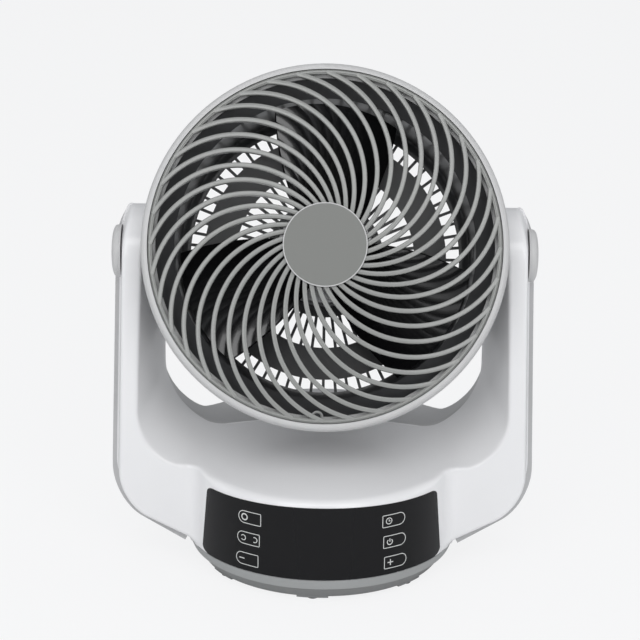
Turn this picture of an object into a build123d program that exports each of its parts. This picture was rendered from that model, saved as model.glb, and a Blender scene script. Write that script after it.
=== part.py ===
"""A desk air circulator fan: a round head in a U-shaped yoke that turns on a low foot.

Millimetres, Z up. The origin is on the standing surface, under the middle of the foot.
The front faces -Y. The head is drawn tilted up, as it stands in use.
"""
from build123d import *
from math import acos, asin, cos, degrees, pi, radians, sin, sqrt, tan
import os

os.makedirs("parts", exist_ok=True)

# Overall places
pivot_height = 233.5
rest_tilt = 23.5

# Foot
foot_top_radius = 95.0
foot_bottom_radius = 88.5
foot_underside = 2.6
foot_top = 11.0
foot_wall = 2.4
lug_count = 7
lug_phase = -94.0
lug_span = 15.0
lug_depth = 9.0
lug_drop = 1.6
lug_inset = 0.6
pad_radius = 4.0
pad_height = 2.2
post_flange_radius = 22.0
post_flange_thickness = 3.0
post_radius = 10.0
post_bore_radius = 6.0
washer_radius = 34.0
washer_thickness = 0.7
turn_clearance = 0.1
running_clearance = 0.05

foot_screw_circle = 16.0
foot_screw_count = 3
foot_screw_radius = 1.5
foot_screw_bite = 1.6
screw_head_radius = 3.0
screw_head_height = 1.8
small_screw_radius = 1.2
small_head_radius = 2.4
small_head_height = 1.6
small_screw_bite = 6.0
tray_hub_radius = 15.0
tray_hub_height = 2.8
post_nut_radius = 14.0
post_nut_height = 3.0

# Swing drive
gear_module = 1.0
gear_teeth = 60
pinion_teeth = 15
gear_height = 5.0
tooth_backlash = 0.3
swing_motor_radius = 22.0
swing_motor_height = 15.0
swing_shaft_radius = 2.0
swing_shaft_length = 9.0
swing_motor_lift = 2.5
swing_motor_chamfer = 1.5
swing_ear_span = 54.0
swing_ear_radius = 5.0
swing_ear_thickness = 1.6
swing_post_radius = 4.0
gear_window_circle = 19.5
gear_window_count = 6
gear_window_radius = 4.5

# Turning base
tray_top_radius = 100.0
tray_bottom_radius = 96.5
tray_floor = 2.4
tray_wall = 2.6
band_top = 20.0
tray_boss_radius = 4.5
tray_boss_sink = 1.0
tray_head_recess = 1.6
tray_screw_length = 15.0
board_middle_y = -56.0
board_length = 96.0
board_width = 42.0
board_corner = 3.0
board_thickness = 1.6
board_seat = 25.0
board_post_pitch_x = 84.0
board_post_pitch_y = 32.0
board_post_radius = 3.0
capacitor_x = -22.0
capacitor_radius = 8.0
capacitor_height = 18.0
transformer_x = 8.0
transformer_shift = 2.0
transformer_length = 24.0
transformer_width = 20.0
transformer_height = 16.0
relay_x = 30.0
relay_shift = -6.0
relay_length = 10.0
relay_width = 16.0
relay_height = 9.0
connector_x = -4.0
connector_shift = -15.0
connector_length = 20.0
connector_width = 5.0
connector_height = 6.0
drum_radius = 100.0
drum_wall = 5.0
drum_edge = 77.0
shoulder_radius = 20.0
dome_top = 102.0
shell_wall = 2.6

# Yoke outline, seen from the front
wing_root_x = 60.0
underside_start = 92.5
underside_slope = 32.6
side_low_x = 152.2
side_low_z = 85.0
side_top_x = 148.2
outer_corner_radius = 32.0
corner_tightening = 0.6
arm_corner_x = 139.5
arm_corner_radius = 9.0
arm_edge_height = 20.5
arm_edge_radius = 30.0
rear_step = 3.5

# Yoke outline, seen from the side
arm_end_radius = 36.0
arm_root_depth = 41.5
arm_root_height = 128.0
crown_room = 0.5

# Yoke sections from front to back: place along Y, draw-in at the sides, draw-in at the underside
ridge_y = 9.0
yoke_reach = 40.5
yoke_sections = (
    (-40.5, 13.5, 8.0),
    (-20.0, 3.0, 1.0),
    (9.0, 0.0, 0.0),
    (24.0, 2.0, 1.0),
    (40.5, 10.0, 7.0),
)

# Gap between the arms: widening, floor height and corner radius at each place along Y
gap_ease = 2.5
gap_stations = (
    (-78.0, 32.2, 86.9, 32.4),
    (9.0, 0.0, 97.2, 50.0),
    (60.0, 6.0, 91.0, 50.0),
)

# Hollow round between the drum and the wings, seen from above
web_radius = 12.0
web_foot = ((80.0, 20.0), (86.0, 20.0), (99.5, 34.5))
web_head = ((99.5, 90.0), (88.3, 82.5), (80.0, 78.0))

# Seam between the shells, seen from the side: upright, then swept forward to the band
seam_low_y = -32.0
seam_bend_height = 110.0
seam_bend_radius = 60.0
seam_overrun = 10.0

# Control panel
panel_thickness = 2.2
panel_half_bottom = 87.0
panel_half_top = 83.0
panel_low = 20.4
panel_corner_height = 73.6
panel_centre_height = 76.2
panel_corner_radius = 5.0
panel_ledge = 4.0
film_thickness = 0.5
film_clearance = 0.15
film_span = 104.0
film_low = 30.0
film_height = 36.0
inlet_height = 36.0
inlet_radius = 5.0
inlet_bore_radius = 3.2
inlet_flange_radius = 8.0
inlet_reach = 5.6
inlet_neck_radius = 6.2
inlet_neck_length = 3.0
inlet_length = 14.0
inlet_root = 1.0
shell_screw_places = ((-131.0, 176.0), (131.0, 176.0), (-118.0, 62.0), (118.0, 62.0))
shell_boss_radius = 4.5
shell_screw_radius = 1.5
screw_well_radius = 3.3
shell_screw_back = 24.0
shell_screw_grip = 18.0

# Tilt pivots
hub_flange_radius = 20.0
hub_flange_thickness = 2.0
hub_shaft_radius = 9.0
hub_bore_radius = 6.0
bush_radius = 14.0
bush_length = 14.0
tilt_washer_thickness = 0.8
cap_radius = 19.0
cap_seat_x = 146.5
cap_face_x = 154.4
cap_edge_radius = 3.2
cap_clearance = 0.1
clip_radius = 12.5
clip_thickness = 1.6
hub_screw_bite = 2.6
hub_screw_cone = 82.0
hub_shaft_proud = 1.0
hub_screw_circle = 15.5
hub_screw_count = 3
hub_screw_radius = 1.2
hub_screw_head = 2.4
washer_rim = 12.6
flange_gap = 0.9
pivot_pad_rise = 1.2

# Head: all depths are measured along the head's axis from the pivots, forward positive
ring_outer_radius = 130.0
ring_inner_radius = 125.0
ring_back = 38.5
ring_front = 60.0
ring_skirt = 3.0
ring_flange_room = 1.4
ledge_front = 52.0
ledge_back = 49.0
ledge_inner_radius = 119.5
rim_outer_radius = 124.5
rim_inner_radius = 121.4
rim_front = 60.8
grille_centre_front = 69.0
grille_depth = 7.0
grille_hub_radius = 29.0
grille_hub_bore = 22.0
vane_count = 36
vane_width = 3.3
vane_bend_radius = 69.5
vane_bend_offset = 62.5
vane_phase = 2.65
vane_root = 2.0
lock_screw_circle = 119.8
lock_screw_angle = -92.0
lock_boss_radius = 4.4
lock_bore_radius = 2.65
lock_head_seat = 56.0
cap_disc_radius = 29.6
cap_disc_thickness = 2.6
cap_spigot_length = 4.0
duct_mouth_radius = 121.0
duct_radius = 107.0
duct_throat = 37.0
housing_wall = 2.4
housing_back = -50.0
back_corner_radius = 8.0
outer_slot_margin = 7.5
outer_slot_length = 10.0
outer_slot_count = 68
outer_rib = 2.1
inner_slot_radii = (43.5, 66.0)
inner_slot_count = 48
inner_rib = 2.2

# Fan motor and impeller
motor_radius = 36.0
motor_front = -6.0
motor_cover_depth = 6.0
motor_end_wall = 3.0
motor_boss_radius = 9.0
motor_boss_height = 2.0
motor_screw_circle = 30.0
motor_screw_count = 4
motor_screw_radius = 1.6
shaft_radius = 4.0
impeller_tip_radius = 104.0
impeller_hub_radius = 28.0
impeller_hub_back = -1.0
impeller_hub_front = 40.0
impeller_hub_round = 5.0
hub_shell = 3.0
hub_boss_setback = 2.0
blade_count = 3
blade_thickness = 2.2
blade_phase = 86.0
blade_middle_depth = 19.0
blade_stations = (
    (14.0, 42.0, 42.0, 4.0),
    (58.0, 84.0, 31.0, 7.0),
    (108.0, 96.0, 22.0, 6.0),
)
nut_radius = 9.0
nut_thickness = 5.0


def save(piece, label):
    """Label a finished piece and write it under the same name."""
    piece.part.label = label
    export_step(piece.part, f"parts/{label}.step")


# Inner face of each arm at the pivots: duct, wall, pad, hub flange and a running gap
arm_inner_x = duct_radius + housing_wall + pivot_pad_rise + hub_flange_thickness + flange_gap

# Frames of the head
tilt = radians(rest_tilt)
pivot = Vector(0, 0, pivot_height)
nose_dir = Vector(0, -cos(tilt), sin(tilt))
nose = Plane(origin=pivot, x_dir=(1, 0, 0), z_dir=nose_dir)
head_section = Plane(origin=pivot, x_dir=(1, 0, 0), z_dir=(0, -sin(tilt), -cos(tilt)))
nose_axis = Axis(pivot, nose_dir)



def upright(angle):
    """Upright plane through the Z axis: local x points outward at this angle, local y up."""
    a = radians(angle)
    return Plane(origin=(0, 0, 0), x_dir=(cos(a), sin(a), 0), z_dir=(sin(a), -cos(a), 0))


def beside(side, x):
    """Plane square to the tilt axis on one side, facing away from the middle."""
    return Plane(origin=(side * x, 0, pivot_height), x_dir=(0, -side, 0), z_dir=(side, 0, 0))


# Foot: a tapering dish with lugs and a pad under each lug
plate_bottom = foot_top - foot_wall
inner_foot_radius = foot_bottom_radius - foot_wall
wall_slope = (foot_top_radius - foot_bottom_radius) / (foot_top - foot_underside)
lug_bottom = foot_underside - lug_drop
lug_angles = [lug_phase + k * 360 / lug_count for k in range(lug_count)]
pad_places = [(foot_bottom_radius - lug_inset - lug_depth / 2, a) for a in lug_angles]
flange_bottom = plate_bottom - post_flange_thickness

with BuildPart() as foot_base:
    with BuildSketch(Plane.XZ):
        with BuildLine():
            Polyline(
                (post_radius, foot_top),
                (foot_top_radius, foot_top),
                (foot_bottom_radius, foot_underside),
                (inner_foot_radius, foot_underside),
                (inner_foot_radius + wall_slope * (plate_bottom - foot_underside), plate_bottom),
                (post_radius, plate_bottom),
                close=True,
            )
        make_face()
    revolve(axis=Axis.Z)
    for angle in lug_angles:
        with BuildSketch(upright(angle - lug_span / 2)):
            with Locations((foot_bottom_radius - lug_inset, lug_bottom)):
                Rectangle(lug_depth, foot_top - foot_wall / 2 - lug_bottom, align=(Align.MAX, Align.MIN))
        revolve(axis=Axis.Z, revolution_arc=lug_span)
    with BuildSketch(Plane.XY.offset(lug_bottom)):
        for radius, angle in pad_places:
            with PolarLocations(radius, 1, start_angle=angle):
                Circle(pad_radius)
    extrude(amount=pad_height - lug_bottom, mode=Mode.SUBTRACT)
    with BuildSketch(Plane.XY.offset(plate_bottom)):
        with PolarLocations(foot_screw_circle, foot_screw_count):
            Circle(foot_screw_radius)
    extrude(amount=foot_screw_bite, mode=Mode.SUBTRACT)
save(foot_base, "foot_base")

with BuildPart() as rubber_feet:
    with BuildSketch(Plane.XY):
        for radius, angle in pad_places:
            with PolarLocations(radius, 1, start_angle=angle):
                Circle(pad_radius)
    extrude(amount=pad_height)
save(rubber_feet, "rubber_feet")

# Post, washer, fixed gear and nut: the stack that the yoke turns on
tray_bottom = foot_top + washer_thickness + turn_clearance
floor_top = tray_bottom + tray_floor
tray_hub_top = floor_top + tray_hub_height
gear_bottom = tray_hub_top + turn_clearance
gear_top = gear_bottom + gear_height
post_top = gear_top + post_nut_height

with BuildPart() as swivel_post:
    with BuildSketch(Plane.XY.offset(flange_bottom)):
        Circle(post_flange_radius)
    extrude(amount=post_flange_thickness)
    with BuildSketch(Plane.XY.offset(flange_bottom)):
        Circle(post_radius)
    extrude(amount=post_top - flange_bottom)
    with BuildSketch(Plane.XY.offset(flange_bottom)):
        Circle(post_bore_radius)
    extrude(amount=post_top - flange_bottom, mode=Mode.SUBTRACT)
    with BuildSketch(Plane.XY.offset(flange_bottom)):
        with PolarLocations(foot_screw_circle, foot_screw_count):
            Circle(foot_screw_radius)
    extrude(amount=post_flange_thickness, mode=Mode.SUBTRACT)
save(swivel_post, "swivel_post")

with BuildPart() as foot_screws:
    with BuildSketch(Plane.XY.offset(flange_bottom - screw_head_height)):
        with PolarLocations(foot_screw_circle, foot_screw_count):
            Circle(screw_head_radius)
    extrude(amount=screw_head_height)
    with BuildSketch(Plane.XY.offset(flange_bottom)):
        with PolarLocations(foot_screw_circle, foot_screw_count):
            Circle(foot_screw_radius)
    extrude(amount=post_flange_thickness + foot_screw_bite)
save(foot_screws, "foot_screws")

with BuildPart() as thrust_washer:
    with BuildSketch(Plane.XY.offset(foot_top)):
        Circle(washer_radius)
        Circle(post_radius, mode=Mode.SUBTRACT)
    extrude(amount=washer_thickness)
save(thrust_washer, "thrust_washer")


def toothed_disc(teeth, phase):
    """Sketch of a spur gear in the open sketch: straight-sided teeth round a root disc."""
    pitch_radius = gear_module * teeth / 2
    root_radius = pitch_radius - 1.2 * gear_module
    tip_radius = pitch_radius + 0.85 * gear_module
    pitch_width = pi * gear_module / 2 - tooth_backlash
    lean = tan(radians(20))
    root_width = pitch_width + 2 * lean * (pitch_radius - root_radius)
    tip_width = pitch_width - 2 * lean * (tip_radius - pitch_radius)
    Circle(root_radius)
    with BuildLine(mode=Mode.PRIVATE) as tooth:
        Polyline(
            (root_radius - 0.4, -root_width / 2),
            (root_radius, -root_width / 2),
            (tip_radius, -tip_width / 2),
            (tip_radius, tip_width / 2),
            (root_radius, root_width / 2),
            (root_radius - 0.4, root_width / 2),
            close=True,
        )
    tooth_face = make_face(tooth.line, mode=Mode.PRIVATE)
    with PolarLocations(0, teeth, start_angle=phase):
        add(tooth_face)


pinion_distance = gear_module * (gear_teeth + pinion_teeth) / 2

with BuildPart() as swing_gear:
    with BuildSketch(Plane.XY.offset(gear_bottom)):
        toothed_disc(gear_teeth, 90 + 180 / gear_teeth)
        Circle(post_radius, mode=Mode.SUBTRACT)
        with PolarLocations(gear_window_circle, gear_window_count):
            Circle(gear_window_radius, mode=Mode.SUBTRACT)
    extrude(amount=gear_height)
save(swing_gear, "swing_gear")

with BuildPart() as post_nut:
    with BuildSketch(Plane.XY.offset(gear_top)):
        RegularPolygon(post_nut_radius, 6)
        Circle(post_radius, mode=Mode.SUBTRACT)
    extrude(amount=post_nut_height)
save(post_nut, "post_nut")

# Swing motor over its pinion
swing_axis = (0, pinion_distance)
motor_seat = gear_top + swing_motor_lift
ear_plane = Plane.XY.offset(motor_seat)
ear_places = [(-swing_ear_span / 2, pinion_distance), (swing_ear_span / 2, pinion_distance)]

with BuildPart() as swing_pinion:
    with BuildSketch(Plane(origin=(0, pinion_distance, gear_bottom))):
        toothed_disc(pinion_teeth, 270)
    extrude(amount=gear_height)
    with BuildSketch(Plane(origin=(0, pinion_distance, gear_top))):
        Circle(swing_shaft_radius)
    extrude(amount=swing_shaft_length)
save(swing_pinion, "swing_pinion")

with BuildPart() as swing_motor:
    with BuildSketch(ear_plane):
        with Locations(swing_axis):
            SlotOverall(swing_ear_span + 2 * swing_ear_radius, 2 * swing_ear_radius)
    extrude(amount=swing_ear_thickness)
    with BuildSketch(ear_plane):
        with Locations(swing_axis):
            Circle(swing_motor_radius)
    extrude(amount=swing_motor_height)
    chamfer(faces().sort_by(Axis.Z)[-1].edges(), swing_motor_chamfer)
    with BuildSketch(ear_plane):
        with Locations(swing_axis):
            Circle(swing_shaft_radius + running_clearance)
    extrude(amount=swing_shaft_length - swing_motor_lift + turn_clearance, mode=Mode.SUBTRACT)
    with BuildSketch(ear_plane):
        with Locations(*ear_places):
            Circle(small_screw_radius)
    extrude(amount=swing_ear_thickness, mode=Mode.SUBTRACT)
save(swing_motor, "swing_motor")

with BuildPart() as swing_screws:
    with BuildSketch(ear_plane.offset(swing_ear_thickness)):
        with Locations(*ear_places):
            Circle(small_head_radius)
    extrude(amount=small_head_height)
    with BuildSketch(ear_plane.offset(swing_ear_thickness)):
        with Locations(*ear_places):
            Circle(small_screw_radius)
    extrude(amount=-swing_ear_thickness - small_screw_bite)
save(swing_screws, "swing_screws")

# Base tray: the light grey band and the floor of the turning part
tray_screw_angles = (38, 142, 218, 322)
tray_boss_circle = drum_radius - drum_wall - tray_boss_radius + tray_boss_sink

with BuildPart() as base_tray:
    with BuildSketch(Plane.XZ):
        with BuildLine():
            inner_low = tray_bottom_radius - tray_wall
            Polyline(
                (post_radius + running_clearance, tray_bottom),
                (tray_bottom_radius, tray_bottom),
                (tray_top_radius, band_top),
                (tray_top_radius - tray_wall, band_top),
                (inner_low, floor_top),
                (tray_hub_radius, floor_top),
                (tray_hub_radius, tray_hub_top),
                (post_radius + running_clearance, tray_hub_top),
                close=True,
            )
        make_face()
    revolve(axis=Axis.Z)
    with BuildSketch(Plane.XY.offset(tray_bottom + tray_floor / 2)):
        with Locations(*ear_places):
            Circle(swing_post_radius)
    extrude(amount=motor_seat - tray_bottom - tray_floor / 2)
    with BuildSketch(Plane.XY.offset(tray_bottom + tray_floor / 2)):
        with Locations((0, board_middle_y)):
            with GridLocations(board_post_pitch_x, board_post_pitch_y, 2, 2):
                Circle(board_post_radius)
    extrude(amount=board_seat - tray_bottom - tray_floor / 2)
    with BuildSketch(Plane.XY.offset(motor_seat)):
        with Locations(*ear_places):
            Circle(small_screw_radius)
    extrude(amount=-small_screw_bite, mode=Mode.SUBTRACT)
    with BuildSketch(Plane.XY.offset(board_seat)):
        with Locations((0, board_middle_y)):
            with GridLocations(board_post_pitch_x, board_post_pitch_y, 2, 2):
                Circle(small_screw_radius)
    extrude(amount=-small_screw_bite, mode=Mode.SUBTRACT)
    with BuildSketch(Plane.XY.offset(tray_bottom)):
        for angle in tray_screw_angles:
            with PolarLocations(tray_boss_circle, 1, start_angle=angle):
                Circle(small_screw_radius)
    extrude(amount=tray_floor, mode=Mode.SUBTRACT)
    with BuildSketch(Plane.XY.offset(tray_bottom)):
        for angle in tray_screw_angles:
            with PolarLocations(tray_boss_circle, 1, start_angle=angle):
                Circle(small_head_radius)
    extrude(amount=tray_head_recess, mode=Mode.SUBTRACT)
save(base_tray, "base_tray")

with BuildPart() as tray_screws:
    with BuildSketch(Plane.XY.offset(tray_bottom + tray_head_recess)):
        for angle in tray_screw_angles:
            with PolarLocations(tray_boss_circle, 1, start_angle=angle):
                Circle(small_head_radius)
    extrude(amount=-small_head_height + turn_clearance)
    with BuildSketch(Plane.XY.offset(tray_bottom + tray_head_recess)):
        for angle in tray_screw_angles:
            with PolarLocations(tray_boss_circle, 1, start_angle=angle):
                Circle(small_screw_radius)
    extrude(amount=tray_screw_length)
save(tray_screws, "tray_screws")

# Main board on four posts, with its capacitor, transformer, relay and connector
board_top = board_seat + board_thickness

with BuildPart() as main_board:
    with BuildSketch(Plane.XY.offset(board_seat)):
        with Locations((0, board_middle_y)):
            RectangleRounded(board_length, board_width, board_corner)
            with GridLocations(board_post_pitch_x, board_post_pitch_y, 2, 2):
                Circle(small_screw_radius, mode=Mode.SUBTRACT)
    extrude(amount=board_thickness)
    with BuildSketch(Plane.XY.offset(board_top)):
        with Locations((capacitor_x, board_middle_y)):
            Circle(capacitor_radius)
    extrude(amount=capacitor_height)
    with BuildSketch(Plane.XY.offset(board_top)):
        with Locations((transformer_x, board_middle_y + transformer_shift)):
            Rectangle(transformer_length, transformer_width)
    extrude(amount=transformer_height)
    with BuildSketch(Plane.XY.offset(board_top)):
        with Locations((relay_x, board_middle_y + relay_shift)):
            Rectangle(relay_length, relay_width)
    extrude(amount=relay_height)
    with BuildSketch(Plane.XY.offset(board_top)):
        with Locations((connector_x, board_middle_y + connector_shift)):
            Rectangle(connector_length, connector_width)
    extrude(amount=connector_height)
save(main_board, "main_board")

with BuildPart() as board_screws:
    with BuildSketch(Plane.XY.offset(board_top)):
        with Locations((0, board_middle_y)):
            with GridLocations(board_post_pitch_x, board_post_pitch_y, 2, 2):
                Circle(small_head_radius)
    extrude(amount=small_head_height)
    with BuildSketch(Plane.XY.offset(board_top)):
        with Locations((0, board_middle_y)):
            with GridLocations(board_post_pitch_x, board_post_pitch_y, 2, 2):
                Circle(small_screw_radius)
    extrude(amount=-board_thickness - small_screw_bite)
save(board_screws, "board_screws")


# Yoke shells
def drum_section(inset, floor):
    """Half section of the drum: upright wall, round shoulder and nearly flat domed top."""
    radius = drum_radius - inset
    top = dome_top - min(inset, shell_wall)
    round_radius = shoulder_radius - min(inset, shell_wall)
    reach = radius - round_radius
    lift = top - round_radius
    centre = (lift ** 2 - reach ** 2 - drum_edge ** 2) / (2 * (lift - drum_edge))
    crown_radius = top - centre
    lean = asin(reach / (crown_radius - round_radius))
    join = (crown_radius * sin(lean), centre + crown_radius * cos(lean))
    half_lean = lean / 2
    crown_middle = (crown_radius * sin(half_lean), centre + crown_radius * cos(half_lean))
    quarter = (pi / 2 - lean) / 2
    shoulder_middle = (reach + round_radius * cos(quarter), drum_edge + round_radius * sin(quarter))
    with BuildSketch() as section:
        with BuildLine():
            Line((0, floor), (radius, floor))
            Line((radius, floor), (radius, drum_edge))
            ThreePointArc((radius, drum_edge), shoulder_middle, join)
            ThreePointArc(join, crown_middle, (0, top))
            Line((0, top), (0, floor))
        make_face()
    return section.sketch


def side_view(inset):
    """Yoke from the side: round end about the pivot above a slightly deepening arm."""
    with BuildSketch() as view:
        with BuildLine():
            for way in (-1, 1):
                Polyline(
                    (way * arm_end_radius, pivot_height),
                    (way * arm_root_depth, arm_root_height),
                    (way * arm_root_depth, band_top - inset),
                )
            ThreePointArc(
                (-arm_end_radius, pivot_height),
                (0, pivot_height + arm_end_radius),
                (arm_end_radius, pivot_height),
            )
            Line((-arm_root_depth, band_top - inset), (arm_root_depth, band_top - inset))
        make_face()
        if inset:
            offset(amount=-inset, mode=Mode.REPLACE)
    return view.sketch


def wing_section(side_inset, under_inset, floor, step):
    """One wing and arm from the front: sloping underside, leaning side and rounded top corner."""
    slope = tan(radians(underside_slope))
    lean = (side_low_x - side_top_x) / (pivot_height - side_low_z)
    low_x = side_low_x + step - side_inset
    under_x = underside_start + (step - under_inset) / sin(radians(underside_slope))
    under_level = band_top - under_x * slope
    corner_x = (low_x - lean * (under_level - side_low_z)) / (1 + lean * slope)
    corner_z = under_level + corner_x * slope
    edge_z = pivot_height + arm_edge_height
    edge_x = low_x - lean * (edge_z - side_low_z)
    crown = pivot_height + arm_end_radius + crown_room
    arm_corner = (arm_corner_x - side_inset, crown)
    with BuildSketch() as section:
        with BuildLine():
            Polyline(
                (wing_root_x, floor),
                ((floor - under_level) / slope, floor),
                (corner_x, corner_z),
                (edge_x, edge_z),
                arm_corner,
                (wing_root_x, crown),
                close=True,
            )
        make_face()
        low_corner = section.vertices().sort_by_distance((corner_x, corner_z))[0]
        fillet(low_corner, outer_corner_radius - corner_tightening * side_inset)
        edge_corner = section.vertices().sort_by_distance((edge_x, edge_z))[0]
        fillet(edge_corner, arm_edge_radius)
        top_corner = section.vertices().sort_by_distance(arm_corner)[0]
        fillet(top_corner, arm_corner_radius)
    return section.sketch


def gap_section(widening, floor, radius, grow):
    """Half of the gap between the arms from the front, open well above the arms."""
    half_width = arm_inner_x + gap_ease + widening + grow
    with BuildSketch() as section:
        with BuildLine():
            Polyline(
                (0, floor - grow),
                (half_width, floor - grow),
                (half_width, 2 * pivot_height),
                (0, 2 * pivot_height),
                close=True,
            )
        make_face()
        low_corner = section.vertices().sort_by_distance((half_width, floor - grow))[0]
        fillet(low_corner, radius + grow)
    return section.sketch


def wing_web(way):
    """Fill between the drum and a wing's flat face with a hollow round, cut to the wing's edges."""
    round_y = yoke_reach + web_radius
    round_x = sqrt((drum_radius + web_radius) ** 2 - round_y ** 2)
    share = drum_radius / (drum_radius + web_radius)
    with BuildPart() as web:
        with BuildSketch(Plane.XY):
            Polygon(
                (round_x * share, -way * round_y * share),
                (round_x, -way * round_y),
                (round_x, -way * (yoke_reach - web_radius)),
                (wing_root_x, -way * (yoke_reach - web_radius)),
                align=None,
            )
            with Locations((round_x, -way * round_y)):
                Circle(web_radius, mode=Mode.SUBTRACT)
        extrude(amount=pivot_height)
        with BuildSketch(Plane.XZ):
            Polygon(*web_foot, *web_head, align=None)
        extrude(amount=drum_radius, both=True, mode=Mode.INTERSECT)
    return web.part


def yoke_form(inset, step):
    """Both wings and arms as solids, drawn in by a wall or widened by the rear step."""
    reach = yoke_reach - inset
    with BuildPart() as form:
        for y, side_inset, under_inset in yoke_sections:
            with BuildSketch(Plane.XZ.offset(-max(-reach, min(reach, y)))):
                add(wing_section(side_inset + inset, under_inset + inset, band_top + inset, step))
        loft(ruled=True)
        with BuildSketch(Plane.YZ):
            add(side_view(inset))
        extrude(amount=2 * side_low_x, mode=Mode.INTERSECT)
        if not inset:
            for way in (-1, 1):
                add(wing_web(way))
        for y, widening, floor, radius in gap_stations:
            with BuildSketch(Plane.XZ.offset(-y)):
                add(gap_section(widening, floor, radius, inset))
        loft(ruled=True, mode=Mode.SUBTRACT)
        mirror(about=Plane.YZ)
    return form.part


def drum_form(inset, floor):
    """Solid drum, drawn in by its wall."""
    with BuildPart() as form:
        with BuildSketch(Plane.XZ):
            add(drum_section(inset, floor))
        revolve(axis=Axis.Z)
    return form.part


# Front shell: white U with the domed drum top and the recess for the panel
def panel_outline(grow):
    """Control panel from the front: narrower at the top, with a gently arched top edge."""
    low_left = (-panel_half_bottom - grow, panel_low - grow)
    low_right = (panel_half_bottom + grow, panel_low - grow)
    high_left = (-panel_half_top - grow, panel_corner_height + grow)
    high_right = (panel_half_top + grow, panel_corner_height + grow)
    with BuildSketch() as outline:
        with BuildLine():
            Line(low_left, low_right)
            Line(low_right, high_right)
            ThreePointArc(high_right, (0, panel_centre_height + grow), high_left)
            Line(high_left, low_left)
        make_face()
        fillet(outline.vertices(), panel_corner_radius)
    return outline.sketch


def drum_skin(outer, inner, grow):
    """Piece of the drum's front wall between two radii, cut to the panel's outline."""
    with BuildPart() as skin:
        with BuildSketch(Plane.XY.offset(band_top - 5)):
            Circle(outer)
            Circle(inner, mode=Mode.SUBTRACT)
        extrude(amount=drum_edge - band_top + 10)
        with BuildSketch(Plane.XZ):
            add(panel_outline(grow))
        extrude(amount=drum_radius + 10, mode=Mode.INTERSECT)
    return skin.part


panel_back_radius = drum_radius - panel_thickness
yoke_inside = yoke_form(shell_wall, 0)
drum_inside = drum_form(drum_wall, band_top - 5)


def seam_y(z):
    """Place of the seam along Y at a height."""
    sweep = (ridge_y - seam_low_y) / (seam_bend_height - band_top)
    return min(ridge_y, seam_low_y + (z - band_top) * sweep)


def seam_block():
    """Everything in front of the seam, as a block wider than the yoke."""
    crown = 2 * pivot_height
    low = band_top - seam_overrun
    foot_y = 2 * seam_y(band_top) - seam_y(band_top + seam_overrun)
    with BuildPart() as block:
        with BuildSketch(Plane.YZ) as side:
            with BuildLine():
                Polyline(
                    (-2 * drum_radius, low),
                    (foot_y, low),
                    (ridge_y, seam_bend_height),
                    (ridge_y, crown),
                    (-2 * drum_radius, crown),
                    close=True,
                )
            make_face()
            bend = side.vertices().sort_by_distance((ridge_y, seam_bend_height))[0]
            fillet(bend, seam_bend_radius)
        extrude(amount=2 * side_low_x, both=True)
    return block.part


def shell_boss(x, z, outer, radius):
    """Round boss along Y for a shell screw, trimmed to the yoke's outer form."""
    with BuildPart() as boss:
        with BuildSketch(Plane.XZ):
            with Locations((x, z)):
                Circle(radius)
        extrude(amount=yoke_reach, both=True)
        add(outer, mode=Mode.INTERSECT)
    return boss.part


def bore_along_y(x, z, radius, from_y):
    """Hole along Y at a place seen from the front, starting at one depth and going out at the back."""
    with BuildPart() as bore:
        with BuildSketch(Plane.XZ.offset(-from_y)):
            with Locations((x, z)):
                Circle(radius)
        extrude(amount=-drum_radius)
    return bore.part


def make_shell(outer, inside):
    """Hollow shell parts shared by both halves: walls, bosses and pivot holes."""
    with BuildPart() as shell:
        add(outer)
        add(drum_form(0, band_top))
        add(inside, mode=Mode.SUBTRACT)
        add(drum_inside, mode=Mode.SUBTRACT)
        for x, z in shell_screw_places:
            add(shell_boss(x, z, outer, shell_boss_radius))
        for angle in tray_screw_angles:
            with BuildSketch(Plane.XY.offset(band_top)):
                with PolarLocations(tray_boss_circle, 1, start_angle=angle):
                    Circle(tray_boss_radius)
            extrude(amount=tray_screw_length)
            with BuildSketch(Plane.XY.offset(band_top)):
                with PolarLocations(tray_boss_circle, 1, start_angle=angle):
                    Circle(small_screw_radius)
            extrude(amount=tray_screw_length, mode=Mode.SUBTRACT)
        for side in (-1, 1):
            with BuildSketch(beside(side, arm_inner_x)):
                Circle(bush_radius + shell_wall)
            extrude(amount=bush_length)
            with BuildSketch(beside(side, arm_inner_x)):
                Circle(bush_radius)
            extrude(amount=bush_length, mode=Mode.SUBTRACT)
            with BuildSketch(beside(side, cap_seat_x)):
                Circle(cap_radius + cap_clearance)
            extrude(amount=cap_radius, mode=Mode.SUBTRACT)
        for x, z in shell_screw_places:
            shank_end = seam_y(z) - shell_screw_grip
            add(bore_along_y(x, z, shell_screw_radius, shank_end), mode=Mode.SUBTRACT)
            add(bore_along_y(x, z, screw_well_radius, shell_screw_back), mode=Mode.SUBTRACT)
    return shell.part


front_outer = yoke_form(0, 0)
rear_outer = yoke_form(0, rear_step)
in_front = seam_block()

with BuildPart() as front_shell:
    add(make_shell(front_outer, yoke_inside))
    add(in_front, mode=Mode.INTERSECT)
    add(drum_skin(drum_radius + 5, panel_back_radius, 0), mode=Mode.SUBTRACT)
    add(drum_skin(drum_radius + 5, drum_radius - drum_wall - 5, -panel_ledge), mode=Mode.SUBTRACT)
save(front_shell, "front_shell")

with BuildPart() as rear_shell:
    add(make_shell(rear_outer, yoke_inside))
    add(in_front, mode=Mode.SUBTRACT)
    with BuildSketch(Plane(origin=(0, drum_radius, inlet_height), x_dir=(1, 0, 0), z_dir=(0, 1, 0))):
        Circle(inlet_radius)
    extrude(amount=-2 * drum_wall, mode=Mode.SUBTRACT)
save(rear_shell, "rear_shell")

with BuildPart() as control_panel:
    add(drum_skin(drum_radius, panel_back_radius, 0))
save(control_panel, "control_panel")

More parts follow.
